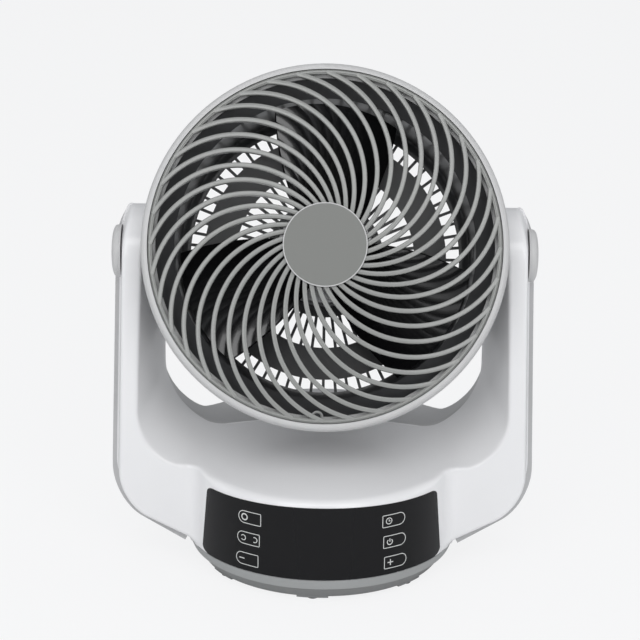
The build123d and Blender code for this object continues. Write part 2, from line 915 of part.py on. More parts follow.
with BuildPart() as touch_film:
    with BuildSketch(Plane.XY.offset(film_low)):
        Circle(panel_back_radius - film_clearance)
        Circle(panel_back_radius - film_clearance - film_thickness, mode=Mode.SUBTRACT)
    extrude(amount=film_height)
    with BuildSketch(Plane.XZ):
        with Locations((0, film_low + film_height / 2)):
            Rectangle(film_span, film_height)
    extrude(amount=drum_radius, mode=Mode.INTERSECT)
save(touch_film, "touch_film")

# Inlet for the lead, low on the back: a collar on the wall with a narrower neck
inlet_mouth = drum_radius + inlet_reach


def inlet_plane(y):
    """Plane square to Y at the inlet, facing back."""
    return Plane(origin=(0, y, inlet_height), x_dir=(1, 0, 0), z_dir=(0, 1, 0))


with BuildPart() as power_inlet:
    with BuildSketch(inlet_plane(inlet_mouth - inlet_neck_length)):
        Circle(inlet_flange_radius)
    extrude(amount=-inlet_reach + inlet_neck_length - inlet_flange_radius)
    with BuildSketch(inlet_plane(inlet_mouth)):
        Circle(inlet_neck_radius)
    extrude(amount=-inlet_neck_length)
    add(drum_form(0, band_top), mode=Mode.SUBTRACT)
    with BuildSketch(inlet_plane(drum_radius + inlet_root)):
        Circle(inlet_radius)
    extrude(amount=-inlet_length)
    with BuildSketch(inlet_plane(inlet_mouth)):
        Circle(inlet_bore_radius)
    extrude(amount=-inlet_length - inlet_reach, mode=Mode.SUBTRACT)
save(power_inlet, "power_inlet")

# Screws that draw the rear shell to the front shell
with BuildPart() as shell_screws:
    for x, z in shell_screw_places:
        with BuildSketch(Plane.XZ.offset(-shell_screw_back)):
            with Locations((x, z)):
                Circle(shell_screw_radius)
        extrude(amount=shell_screw_back - seam_y(z) + shell_screw_grip)
    with BuildSketch(Plane.XZ.offset(-shell_screw_back)):
        with Locations(*shell_screw_places):
            Circle(screw_head_radius)
    extrude(amount=-screw_head_height)
save(shell_screws, "shell_screws")

# Tilt pivots: bush, cap, hub, washers and clip on each side
flange_inner_x = arm_inner_x - flange_gap - hub_flange_thickness
clip_inner_x = arm_inner_x + bush_length + turn_clearance
hub_length = clip_inner_x + clip_thickness + hub_shaft_proud - flange_inner_x

for side, hand in ((-1, "left"), (1, "right")):
    with BuildPart() as pivot_bush:
        with BuildSketch(beside(side, arm_inner_x)):
            Circle(bush_radius)
            Circle(hub_shaft_radius + running_clearance, mode=Mode.SUBTRACT)
        extrude(amount=bush_length)
    save(pivot_bush, f"bush_{hand}")

    with BuildPart() as pivot_cap:
        with BuildSketch(beside(side, cap_seat_x)):
            Circle(cap_radius)
        extrude(amount=cap_face_x - cap_seat_x)
        fillet(pivot_cap.faces().sort_by(Axis.X)[-1 if side > 0 else 0].edges(), cap_edge_radius)
    save(pivot_cap, f"cap_{hand}")

    with BuildPart() as pivot_hub:
        with BuildSketch(beside(side, flange_inner_x)):
            Circle(hub_flange_radius)
        extrude(amount=hub_flange_thickness)
        with BuildSketch(beside(side, flange_inner_x)):
            Circle(hub_shaft_radius)
        extrude(amount=hub_length)
        with BuildSketch(beside(side, flange_inner_x)):
            Circle(hub_bore_radius)
        extrude(amount=hub_length, mode=Mode.SUBTRACT)
        with Locations(beside(side, flange_inner_x + hub_flange_thickness)):
            with PolarLocations(hub_screw_circle, hub_screw_count, start_angle=90):
                CounterSinkHole(hub_screw_radius, hub_screw_head, hub_flange_thickness)
    save(pivot_hub, f"hub_{hand}")

    with BuildPart() as tilt_washer:
        with BuildSketch(beside(side, flange_inner_x + hub_flange_thickness)):
            Circle(washer_rim)
            Circle(hub_shaft_radius, mode=Mode.SUBTRACT)
        extrude(amount=tilt_washer_thickness)
    save(tilt_washer, f"tilt_washer_{hand}")

    with BuildPart() as hub_clip:
        with BuildSketch(beside(side, clip_inner_x)):
            Circle(clip_radius)
            Circle(hub_shaft_radius, mode=Mode.SUBTRACT)
        extrude(amount=clip_thickness)
    save(hub_clip, f"hub_clip_{hand}")

# Screws of the hubs: flush heads in the flange, shanks in the housing's pads
with BuildPart() as hub_screws:
    for side in (-1, 1):
        with BuildSketch(beside(side, flange_inner_x + hub_flange_thickness)):
            with PolarLocations(hub_screw_circle, hub_screw_count, start_angle=90):
                Circle(hub_screw_radius)
        extrude(amount=-hub_flange_thickness - hub_screw_bite)
        with Locations(beside(side, flange_inner_x + hub_flange_thickness)):
            with PolarLocations(hub_screw_circle, hub_screw_count, start_angle=90):
                screw_cone = hub_screw_head - hub_screw_radius
                Cone(
                    hub_screw_radius,
                    hub_screw_head,
                    screw_cone / tan(radians(hub_screw_cone / 2)),
                    align=(Align.CENTER, Align.CENTER, Align.MAX),
                )
save(hub_screws, "hub_screws")


# Head: parts turned about the nose axis
with BuildPart() as front_ring:
    with BuildSketch(head_section):
        with BuildLine():
            skirt_radius = ring_outer_radius - ring_skirt
            Line((ring_inner_radius, ring_front), (ring_inner_radius, ledge_front))
            Line((ring_inner_radius, ledge_front), (ledge_inner_radius, ledge_front))
            Line((ledge_inner_radius, ledge_front), (ledge_inner_radius, ledge_back))
            Line((ledge_inner_radius, ledge_back), (skirt_radius - 0.8, ledge_back))
            Line((skirt_radius - 0.8, ledge_back), (skirt_radius - 0.8, ring_back))
            Line((skirt_radius - 0.8, ring_back), (ring_outer_radius - 1.2, ring_back))
            ThreePointArc(
                (ring_outer_radius - 1.2, ring_back),
                (ring_outer_radius, ledge_back),
                (ring_outer_radius - 1.0, ring_front - 2.2),
            )
            ThreePointArc(
                (ring_outer_radius - 1.0, ring_front - 2.2),
                (ring_outer_radius - 2.0, ring_front - 0.5),
                (ring_outer_radius - 3.6, ring_front),
            )
            Line((ring_outer_radius - 3.6, ring_front), (ring_inner_radius, ring_front))
        make_face()
    revolve(axis=nose_axis)
    with BuildSketch(nose.offset(ledge_back)):
        with PolarLocations(lock_screw_circle, 1, start_angle=lock_screw_angle):
            Circle(lock_boss_radius)
    extrude(amount=ledge_front - ledge_back)
    with BuildSketch(nose.offset(ledge_back)):
        with PolarLocations(lock_screw_circle, 1, start_angle=lock_screw_angle):
            Circle(small_screw_radius)
    extrude(amount=ledge_front - ledge_back, mode=Mode.SUBTRACT)
save(front_ring, "front_ring")


# Spiral guard
def bend_angle(radius):
    """Angle about a vane's bend centre at which the vane reaches this distance from the nose axis."""
    reach = radius ** 2 - vane_bend_offset ** 2 - vane_bend_radius ** 2
    return degrees(acos(reach / (2 * vane_bend_offset * vane_bend_radius)))


grille_crown_rise = grille_centre_front - rim_front
grille_centre_back = grille_centre_front - grille_depth
vane_start = bend_angle(grille_hub_radius - vane_root)
vane_end = bend_angle((rim_outer_radius + rim_inner_radius) / 2)

with BuildSketch() as vane:
    with BuildLine():
        vane_sweep = vane_start - vane_end
        inner_arc = CenterArc((0, 0), vane_bend_radius - vane_width / 2, -vane_start, vane_sweep)
        outer_arc = CenterArc((0, 0), vane_bend_radius + vane_width / 2, -vane_start, vane_sweep)
        Line(inner_arc @ 0, outer_arc @ 0)
        Line(inner_arc @ 1, outer_arc @ 1)
    make_face()

with BuildPart() as spiral_grille:
    with BuildSketch(nose.offset(rim_front - grille_depth - 1)):
        for k in range(vane_count):
            turn = vane_phase + k * 360 / vane_count
            x = vane_bend_offset * cos(radians(turn))
            y = vane_bend_offset * sin(radians(turn))
            with Locations(Location((x, y, 0), (0, 0, turn))):
                add(vane.sketch)
    extrude(amount=grille_crown_rise + grille_depth + 4)
    with BuildSketch(head_section):
        with BuildLine():
            crown_bulge = grille_crown_rise * 0.25
            crown_middle = (rim_inner_radius + grille_hub_radius) / 2
            middle_front = (rim_front + grille_centre_front) / 2 + crown_bulge
            rim_edge = rim_inner_radius + 1
            Line((0, grille_centre_front), (grille_hub_radius, grille_centre_front))
            ThreePointArc(
                (grille_hub_radius, grille_centre_front),
                (crown_middle, middle_front),
                (rim_edge, rim_front),
            )
            Line((rim_edge, rim_front), (rim_edge, rim_front - grille_depth))
            ThreePointArc(
                (rim_edge, rim_front - grille_depth),
                (crown_middle, middle_front - grille_depth),
                (grille_hub_radius, grille_centre_back),
            )
            Line((grille_hub_radius, grille_centre_back), (0, grille_centre_back))
            Line((0, grille_centre_back), (0, grille_centre_front))
        make_face()
    revolve(axis=nose_axis, mode=Mode.INTERSECT)
    with BuildSketch(head_section):
        with BuildLine():
            Polyline(
                (rim_inner_radius, ledge_front),
                (rim_outer_radius, ledge_front),
                (rim_outer_radius, rim_front - 0.8),
                (rim_outer_radius - 0.8, rim_front),
                (rim_inner_radius + 0.8, rim_front),
                (rim_inner_radius, rim_front - 0.8),
                close=True,
            )
        make_face()
    revolve(axis=nose_axis)
    with BuildSketch(nose.offset(grille_centre_back)):
        Circle(grille_hub_radius)
    extrude(amount=grille_depth)
    with BuildSketch(nose.offset(grille_centre_back)):
        Circle(grille_hub_bore)
    extrude(amount=grille_depth, mode=Mode.SUBTRACT)
    with BuildSketch(nose.offset(ledge_front)):
        with PolarLocations(lock_screw_circle, 1, start_angle=lock_screw_angle):
            Circle(lock_boss_radius)
    extrude(amount=rim_front - ledge_front)
    with BuildSketch(nose.offset(ledge_front)):
        with PolarLocations(lock_screw_circle, 1, start_angle=lock_screw_angle):
            Circle(small_screw_radius)
    extrude(amount=rim_front - ledge_front, mode=Mode.SUBTRACT)
    with BuildSketch(nose.offset(lock_head_seat)):
        with PolarLocations(lock_screw_circle, 1, start_angle=lock_screw_angle):
            Circle(lock_bore_radius)
    extrude(amount=rim_front - lock_head_seat, mode=Mode.SUBTRACT)
save(spiral_grille, "spiral_grille")

with BuildPart() as lock_screw:
    with BuildSketch(nose.offset(lock_head_seat)):
        with PolarLocations(lock_screw_circle, 1, start_angle=lock_screw_angle):
            Circle(small_head_radius)
    extrude(amount=small_head_height)
    with BuildSketch(nose.offset(ledge_back)):
        with PolarLocations(lock_screw_circle, 1, start_angle=lock_screw_angle):
            Circle(small_screw_radius)
    extrude(amount=lock_head_seat - ledge_back)
save(lock_screw, "lock_screw")

with BuildPart() as centre_cap:
    with BuildSketch(nose.offset(grille_centre_front)):
        Circle(cap_disc_radius)
    extrude(amount=cap_disc_thickness)
    fillet(centre_cap.edges().group_by(Axis(pivot, nose_dir))[-1], cap_disc_thickness * 0.45)
    with BuildSketch(nose.offset(grille_centre_front)):
        Circle(grille_hub_bore)
        Circle(grille_hub_bore - 2, mode=Mode.SUBTRACT)
    extrude(amount=-cap_spigot_length)
save(centre_cap, "centre_cap")


def slot_ring(radii, count, rib, phase):
    """Ring of slots in the open sketch, cut apart by radial ribs."""
    low, high = radii
    with BuildSketch() as ring:
        Circle(high)
        Circle(low, mode=Mode.SUBTRACT)
        with PolarLocations((low + high) / 2, count, start_angle=phase):
            Rectangle(high - low + 4, rib, mode=Mode.SUBTRACT)
    return ring.sketch


# Rear housing: duct, pads for the hubs and slotted back in one moulding
back_inner = housing_back + housing_wall
outer_wall = duct_radius + housing_wall
housing_flange_radius = ring_outer_radius - ring_skirt - ring_flange_room
flange_back = ledge_back - housing_wall
slot_end = duct_radius - outer_slot_margin
outer_slot_radii = (slot_end - outer_slot_length, slot_end)

with BuildSketch() as housing_half:
    with BuildLine():
        Polyline(
            (duct_mouth_radius, ledge_back),
            (housing_flange_radius, ledge_back),
            (housing_flange_radius, flange_back),
            (duct_mouth_radius + housing_wall, flange_back),
            (outer_wall, duct_throat),
            (outer_wall, housing_back),
            (0, housing_back),
            (0, back_inner),
            (duct_radius, back_inner),
            (duct_radius, duct_throat),
            close=True,
        )
    make_face()
    outer_corner = housing_half.vertices().sort_by_distance((outer_wall, housing_back))[0]
    fillet(outer_corner, back_corner_radius + housing_wall)
    inner_corner = housing_half.vertices().sort_by_distance((duct_radius, back_inner))[0]
    fillet(inner_corner, back_corner_radius)

with BuildPart() as rear_housing:
    with BuildSketch(head_section):
        add(housing_half.sketch)
    revolve(axis=nose_axis)
    for side in (-1, 1):
        with BuildSketch(beside(side, duct_radius - 2)):
            Circle(hub_flange_radius + 1)
        extrude(amount=flange_inner_x - duct_radius + 2)
    with BuildSketch(nose):
        Circle(duct_radius)
    extrude(amount=hub_flange_radius + 2, both=True, mode=Mode.SUBTRACT)
    for side in (-1, 1):
        with BuildSketch(beside(side, duct_radius - 3)):
            Circle(hub_bore_radius)
            with PolarLocations(hub_screw_circle, hub_screw_count, start_angle=90):
                Circle(hub_screw_radius)
        extrude(amount=flange_inner_x - duct_radius + 3, mode=Mode.SUBTRACT)
    with BuildSketch(nose.offset(housing_back)):
        add(slot_ring(outer_slot_radii, outer_slot_count, outer_rib, 0))
        add(slot_ring(inner_slot_radii, inner_slot_count, inner_rib, 0))
    extrude(amount=housing_wall, mode=Mode.SUBTRACT)
    with BuildSketch(nose.offset(housing_back)):
        with PolarLocations(motor_screw_circle, motor_screw_count, start_angle=45):
            Circle(motor_screw_radius)
    extrude(amount=housing_wall, mode=Mode.SUBTRACT)
save(rear_housing, "rear_housing")

# Fan motor: body, front cover and the screws that hold both to the housing's back
with BuildPart() as motor_body:
    with BuildSketch(nose.offset(back_inner)):
        Circle(motor_radius)
    extrude(amount=motor_front - motor_cover_depth - back_inner)
    chamfer(motor_body.edges().group_by(Axis(pivot, nose_dir))[0], 2)
    with BuildSketch(nose.offset(back_inner + motor_end_wall)):
        Circle(shaft_radius + running_clearance)
    extrude(amount=motor_front - back_inner, mode=Mode.SUBTRACT)
    with BuildSketch(nose.offset(back_inner)):
        with PolarLocations(motor_screw_circle, motor_screw_count, start_angle=45):
            Circle(motor_screw_radius)
    extrude(amount=motor_front - back_inner, mode=Mode.SUBTRACT)
save(motor_body, "motor_body")

with BuildPart() as motor_cover:
    with BuildSketch(nose.offset(motor_front - motor_cover_depth)):
        Circle(motor_radius + 1)
    extrude(amount=motor_cover_depth)
    fillet(motor_cover.edges().group_by(Axis(pivot, nose_dir))[-1], motor_cover_depth / 2)
    with BuildSketch(nose.offset(motor_front)):
        Circle(motor_boss_radius)
    extrude(amount=motor_boss_height)
    with BuildSketch(nose.offset(motor_front - motor_cover_depth)):
        Circle(shaft_radius + running_clearance)
    extrude(amount=motor_cover_depth + motor_boss_height, mode=Mode.SUBTRACT)
    with BuildSketch(nose.offset(motor_front - motor_cover_depth)):
        with PolarLocations(motor_screw_circle, motor_screw_count, start_angle=45):
            Circle(motor_screw_radius)
    extrude(amount=motor_cover_depth, mode=Mode.SUBTRACT)
save(motor_cover, "motor_cover")

with BuildPart() as motor_screws:
    with BuildSketch(nose.offset(housing_back)):
        with PolarLocations(motor_screw_circle, motor_screw_count, start_angle=45):
            Circle(motor_screw_radius)
    extrude(amount=motor_front - housing_back)
    with BuildSketch(nose.offset(housing_back)):
        with PolarLocations(motor_screw_circle, motor_screw_count, start_angle=45):
            Circle(screw_head_radius)
    extrude(amount=-screw_head_height)
save(motor_screws, "motor_screws")

# Impeller: three wide twisted blades trimmed by the tip circle, on a hollow hub
def blade_section(chord, pitch, camber):
    """Thin curved strip, pitched against the nose axis."""
    half = chord / 2
    with BuildSketch() as strip:
        with BuildLine():
            ThreePointArc((-half, 0), (0, camber), (half, 0))
            Line((half, 0), (half, blade_thickness))
            ThreePointArc((half, blade_thickness), (0, camber + blade_thickness), (-half, blade_thickness))
            Line((-half, blade_thickness), (-half, 0))
        make_face()
    return strip.sketch.rotate(Axis.Z, pitch)


def blade(angle):
    """One blade, lofted outward through sections square to its own radius."""
    out = nose.x_dir * cos(radians(angle)) + nose.y_dir * sin(radians(angle))
    across = nose.z_dir.cross(out)
    with BuildPart() as one:
        for reach, chord, pitch, camber in blade_stations:
            origin = pivot + nose_dir * blade_middle_depth + out * reach
            with BuildSketch(Plane(origin=origin, x_dir=across, z_dir=out)):
                add(blade_section(chord, pitch, camber))
        loft()
    return one.part


blade_hub_length = impeller_hub_front - impeller_hub_back
with BuildSketch() as hub_half:
    with Locations((0, impeller_hub_back)):
        Rectangle(impeller_hub_radius, blade_hub_length, align=(Align.MIN, Align.MIN))
    hub_corner = hub_half.vertices().sort_by_distance((impeller_hub_radius, impeller_hub_front))[0]
    fillet(hub_corner, impeller_hub_round)

with BuildPart() as impeller:
    for k in range(blade_count):
        add(blade(blade_phase + k * 360 / blade_count))
    with BuildSketch(nose.offset(blade_middle_depth)):
        Circle(impeller_tip_radius)
    extrude(amount=3 * blade_middle_depth, both=True, mode=Mode.INTERSECT)
    with BuildSketch(head_section):
        add(hub_half.sketch)
    revolve(axis=nose_axis)
    with BuildSketch(nose.offset(impeller_hub_back)):
        Circle(impeller_hub_radius - hub_shell)
    extrude(amount=impeller_hub_front - hub_shell - impeller_hub_back, mode=Mode.SUBTRACT)
    with BuildSketch(nose.offset(impeller_hub_back + hub_boss_setback)):
        Circle(shaft_radius + hub_shell)
    extrude(amount=blade_hub_length - hub_boss_setback - hub_shell / 2)
    with BuildSketch(nose.offset(impeller_hub_back)):
        Circle(shaft_radius)
    extrude(amount=blade_hub_length, mode=Mode.SUBTRACT)
save(impeller, "impeller")

with BuildPart() as motor_shaft:
    with BuildSketch(nose.offset(back_inner + motor_end_wall + turn_clearance)):
        Circle(shaft_radius)
    extrude(amount=impeller_hub_front + nut_thickness + 1.5 - back_inner - motor_end_wall - turn_clearance)
    chamfer(motor_shaft.edges().group_by(Axis(pivot, nose_dir))[-1], 0.6)
save(motor_shaft, "motor_shaft")

with BuildPart() as impeller_nut:
    with BuildSketch(nose.offset(impeller_hub_front)):
        RegularPolygon(nut_radius, 6)
        Circle(shaft_radius, mode=Mode.SUBTRACT)
    extrude(amount=nut_thickness)
save(impeller_nut, "impeller_nut")
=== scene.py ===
# %% [markdown]
# This lesson dresses a desk air circulator: a round head with a spiral guard, tilting between the
# arms of a U-shaped yoke, which swings on a low round foot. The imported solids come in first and
# stay as they are. They could all be modelled again as meshes, but their sizes and joints are
# right, so most of them only get a finish, and a few are replaced by finer meshes.

from math import atan2, cos, degrees, hypot, pi, radians, sin, sqrt, tan

import bmesh
import bpy
import numpy as np
from mathutils import Matrix, Quaternion, Vector


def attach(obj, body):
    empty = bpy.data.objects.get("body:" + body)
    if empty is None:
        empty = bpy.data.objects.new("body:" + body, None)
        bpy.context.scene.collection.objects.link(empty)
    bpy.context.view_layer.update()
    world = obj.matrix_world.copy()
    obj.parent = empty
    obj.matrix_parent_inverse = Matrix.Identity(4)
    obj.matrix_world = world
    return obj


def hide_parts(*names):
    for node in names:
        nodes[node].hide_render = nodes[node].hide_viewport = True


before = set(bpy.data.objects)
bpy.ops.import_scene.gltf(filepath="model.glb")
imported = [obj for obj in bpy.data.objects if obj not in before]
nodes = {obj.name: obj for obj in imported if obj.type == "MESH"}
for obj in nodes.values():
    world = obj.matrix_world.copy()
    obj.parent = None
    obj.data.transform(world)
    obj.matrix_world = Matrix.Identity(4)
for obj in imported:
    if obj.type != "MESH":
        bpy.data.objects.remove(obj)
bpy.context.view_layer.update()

# %% [markdown]
# The head leans back on its pivots, so its parts are easiest to draw in its own frame: across,
# up along the ring, and forward along the nose. One small function turns such a place, given in
# millimetres, into a place in the scene, in metres.

# %% The head's own frame
mm = 0.001
pivot_height = 233.5
head_tilt = radians(23.5)
nose_way = Vector((0, -cos(head_tilt), sin(head_tilt)))
ring_up = Vector((0, sin(head_tilt), cos(head_tilt)))
across = Vector((1, 0, 0))
pivot = Vector((0, 0, pivot_height))


def on_head(x, y, depth):
    """Place on the head in metres, from millimetres across, up and forward."""
    return (pivot + across * x + ring_up * y + nose_way * depth) * mm


print("nose points to", tuple(round(v, 3) for v in nose_way))

# %% [markdown]
# A finish is a small network of shader nodes. Written node by node it is hard to read, so one
# class wraps a socket and gives it the signs + and *: noise * 0.2 + 0.4 then adds the Math nodes
# by itself. A second class holds the material and makes any other node.


# %% Arithmetic on sockets
class Wire:
    """An output socket that adds Math nodes when it is used in an expression."""

    def __init__(self, finish, socket):
        self.finish = finish
        self.socket = socket

    def math(self, operation, *values):
        return self.finish.node("ShaderNodeMath", {"operation": operation}, dict(enumerate(values)))

    def __add__(self, other):
        return self.math("ADD", self, other)

    def __mul__(self, other):
        return self.math("MULTIPLY", self, other)


class Finish:
    """A material under construction: makes nodes, joins them and feeds the surface."""

    def __init__(self, name):
        self.material = bpy.data.materials.new(name)
        self.material.use_nodes = True
        self.tree = self.material.node_tree
        self.surface = self.tree.nodes["Principled BSDF"]

    def node(self, kind, settings=None, sockets=None, output=0):
        made = self.tree.nodes.new(kind)
        for key, value in (settings or {}).items():
            if key == "stops":
                elements = made.color_ramp.elements
                while len(elements) < len(value):
                    elements.new(0.5)
                for element, (place, colour) in zip(elements, value):
                    element.position = place
                    element.color = (*colour, 1.0)
            else:
                setattr(made, key, value)
        for key, value in (sockets or {}).items():
            self.join(made.inputs[key], value)
        return Wire(self, made.outputs[output])

    def join(self, socket, value):
        if isinstance(value, Wire):
            self.tree.links.new(value.socket, socket)
        else:
            socket.default_value = value

    def feed(self, **values):
        """Set or join the surface's own sockets, named with _ for each space."""
        for key, value in values.items():
            if isinstance(value, tuple) and len(value) == 3:
                value = (*value, 1.0)
            self.join(self.surface.inputs[key.replace("_", " ")], value)
        return self

    def place(self):
        return self.node("ShaderNodeTexCoord", output="Object")

    def noise(self, scale, detail=2.0, roughness=0.5, where=None):
        sockets = {"Scale": scale, "Detail": detail, "Roughness": roughness}
        sockets["Vector"] = where or self.place()
        return self.node("ShaderNodeTexNoise", None, sockets)

    def cells(self, scale, where=None):
        sockets = {"Scale": scale, "Vector": where or self.place()}
        return self.node("ShaderNodeTexVoronoi", None, sockets)

    def mix(self, factor, first, second):
        """Colour between two colours."""
        first = (*first, 1.0) if isinstance(first, tuple) else first
        second = (*second, 1.0) if isinstance(second, tuple) else second
        sockets = {0: factor, 6: first, 7: second}
        return self.node("ShaderNodeMix", {"data_type": "RGBA"}, sockets, output=2)

    def bump(self, height, strength, distance):
        sockets = {"Height": height, "Strength": strength, "Distance": distance}
        return self.feed(Normal=self.node("ShaderNodeBump", None, sockets))


print("classes ready: Wire, Finish")

# %% [markdown]
# Almost all that shows is moulded plastic. A mould is either polished, which leaves a faint
# waviness under the gloss, or etched, which leaves a fine grain. Both can be had from noise at
# the right scale: a slow wave for the polish and tight cells for the grain. Colour drifts by a
# few percent only, because a new moulding is very even.


# %% Moulded plastics
def polished(name, colour, roughness, coat, wave=0.02, specular=0.5):
    """Glossy moulding: a slow waviness and hair-fine polishing haze."""
    made = Finish(name)
    drift = made.noise(9.0, 3.0)
    haze = made.noise(900.0, 4.0, 0.7)
    darker = tuple(c * 0.965 for c in colour)
    made.feed(Base_Color=made.mix(drift, darker, colour))
    made.feed(Roughness=haze * 0.08 + (drift * 0.05 + (roughness - 0.06)))
    made.feed(Coat_Weight=coat, Coat_Roughness=0.06, Specular_IOR_Level=specular)
    return made.bump(made.noise(55.0, 2.0) + haze * 0.06, wave, 0.0004).material


def grained(name, colour, roughness, grain=900.0, depth=0.25, speckle=0.05):
    """Etched moulding: tight cells for the grain and a little speckle in the colour."""
    made = Finish(name)
    drift = made.noise(12.0, 3.0)
    cells = made.cells(grain)
    fine = made.noise(grain * 1.7, 3.0, 0.6)
    low = tuple(c * (1 - speckle) for c in colour)
    high = tuple(min(1.0, c * (1 + speckle)) for c in colour)
    made.feed(Base_Color=made.mix(drift * 0.5 + fine * 0.5, low, high))
    made.feed(Roughness=fine * 0.12 + cells * 0.1 + (roughness - 0.1))
    return made.bump(cells * 0.6 + fine * 0.4, depth, 0.00012).material


white_gloss = polished("white_gloss", (0.84, 0.84, 0.85), 0.30, 0.35)
rear_grey = grained("rear_grey", (0.50, 0.50, 0.505), 0.42, depth=0.12)
ring_grey = grained("ring_grey", (0.52, 0.52, 0.52), 0.38, depth=0.08)
band_grey = grained("band_grey", (0.36, 0.37, 0.37), 0.45, depth=0.15)
cap_side_grey = grained("cap_side_grey", (0.55, 0.55, 0.55), 0.42, depth=0.12)
guard_grey = polished("guard_grey", (0.27, 0.275, 0.265), 0.26, 0.3)
badge_grey = grained("badge_grey", (0.185, 0.19, 0.18), 0.5, depth=0.2)
foot_grey = grained("foot_grey", (0.235, 0.24, 0.24), 0.55, grain=650.0, depth=0.35, speckle=0.08)
duct_charcoal = polished("duct_charcoal", (0.075, 0.076, 0.079), 0.30, 0.15)
blade_black = polished("blade_black", (0.008, 0.008, 0.009), 0.16, 0.5)
nylon_white = grained("nylon_white", (0.74, 0.72, 0.65), 0.4, depth=0.1)
print("plastics:", len(bpy.data.materials))

# %% [markdown]
# The touch panel is a curved black window, moulded clear and painted on its back, so its gloss
# is sharper than that of the shell. The prints on it are a pale satin ink.

# %% Panel, ink, rubber and film
panel_black = polished("panel_black", (0.006, 0.006, 0.007), 0.10, 0.0, wave=0.01, specular=0.22)
print_ink = grained("print_ink", (0.62, 0.63, 0.62), 0.5, depth=0.05)


def rubbery(name, colour):
    """Soft black rubber: matt, with a dusty unevenness."""
    made = Finish(name)
    dust = made.noise(180.0, 5.0, 0.65)
    made.feed(Base_Color=made.mix(dust, colour, tuple(c * 1.9 for c in colour)))
    made.feed(Roughness=dust * 0.2 + 0.68)
    return made.bump(dust, 0.3, 0.0002).material


foot_rubber = rubbery("foot_rubber", (0.018, 0.018, 0.018))
film_amber = polished("film_amber", (0.36, 0.17, 0.03), 0.3, 0.0)
print("panel finishes ready")

# %% [markdown]
# Metal shows only at the back and inside: turned steel pins, zinc-plated screws and the cast
# motor. Fine noise stands for the scratches, and plating is a faint cloud in the colour and the
# roughness.


# %% Metals and the board
def plated(name, colour, roughness):
    """Plated or turned steel with a cloudy shine."""
    made = Finish(name)
    cloud = made.noise(220.0, 4.0, 0.6)
    scratch = made.noise(2400.0, 2.0)
    made.feed(Base_Color=made.mix(cloud, tuple(c * 0.82 for c in colour), colour))
    made.feed(Metallic=1.0, Roughness=cloud * 0.2 + scratch * 0.06 + (roughness - 0.12))
    return made.bump(scratch, 0.1, 0.00005).material


def lacquered_board(name):
    """Green board with darker tracks under the lacquer."""
    made = Finish(name)
    sockets = {0: made.place(), "Scale": 160.0}
    where = made.node("ShaderNodeVectorMath", {"operation": "SCALE"}, sockets)
    tracks = made.node("ShaderNodeTexBrick", None, {"Vector": where, "Scale": 1.0}, output="Fac")
    made.feed(Base_Color=made.mix(tracks, (0.012, 0.10, 0.035), (0.02, 0.16, 0.06)))
    made.feed(Roughness=made.noise(300.0) * 0.1 + 0.3)
    return made.bump(tracks, 0.2, 0.0001).material


bright_steel = plated("bright_steel", (0.62, 0.61, 0.59), 0.32)
cast_metal = plated("cast_metal", (0.50, 0.50, 0.51), 0.48)
board_green = lacquered_board("board_green")
print("materials in all:", len(bpy.data.materials))

# %% [markdown]
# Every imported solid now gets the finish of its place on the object. A table from finish to node
# names keeps this in one view, and the loop stops the script if a node was forgotten.

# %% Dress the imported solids
screws = ("board_screws", "foot_screws", "hub_screws", "motor_screws")
screws += ("shell_screws", "swing_screws", "tray_screws")
dress = {
    white_gloss: ("front_shell",),
    rear_grey: ("rear_shell",),
    ring_grey: ("front_ring",),
    band_grey: ("base_tray",),
    cap_side_grey: ("cap_left", "cap_right"),
    guard_grey: ("spiral_grille",),
    badge_grey: ("centre_cap",),
    foot_grey: ("foot_base",),
    duct_charcoal: ("rear_housing",),
    blade_black: ("impeller", "lock_screw"),
    panel_black: ("control_panel",),
    film_amber: ("touch_film",),
    foot_rubber: ("rubber_feet", "power_inlet"),
    nylon_white: (
        "bush_left", "bush_right", "swing_gear", "swing_pinion",
        "thrust_washer", "tilt_washer_left", "tilt_washer_right",
    ),
    bright_steel: (
        "hub_left", "hub_right", "hub_clip_left", "hub_clip_right",
        "impeller_nut", "motor_shaft", "post_nut", "swivel_post",
    ) + screws,
    cast_metal: ("motor_body", "motor_cover", "swing_motor"),
    board_green: ("main_board",),
}
dressed = set()
for material, names in dress.items():
    for name in names:
        slots = nodes[name].data.materials
        slots.clear()
        slots.append(material)
        dressed.add(name)
assert dressed == set(nodes), sorted(set(nodes) - dressed)
print("dressed:", len(dressed))

# %% [markdown]
# Meshes are drawn with a few helpers. Each one fills a bmesh, and one function turns it into an
# object: it merges doubles, makes the normals face outward, shades the faces smooth and keeps the
# edges sharp where two faces meet at a clear angle.


# %% From bmesh to piece
def finish_mesh(bm, name, material, sharp_above=32.0):
    """Object from a bmesh, smooth except at edges sharper than an angle in degrees."""
    bmesh.ops.remove_doubles(bm, verts=bm.verts, dist=1e-7)
    bmesh.ops.dissolve_degenerate(bm, edges=bm.edges, dist=1e-7)
    bmesh.ops.recalc_face_normals(bm, faces=bm.faces)
    for face in bm.faces:
        face.smooth = True
    for edge in bm.edges:
        edge.smooth = len(edge.link_faces) == 2 and edge.calc_face_angle(0.0) < radians(sharp_above)
    mesh = bpy.data.meshes.new(name)
    bm.to_mesh(mesh)
    bm.free()
    mesh.materials.append(material)
    piece = bpy.data.objects.new(name, mesh)
    bpy.context.scene.collection.objects.link(piece)
    return piece


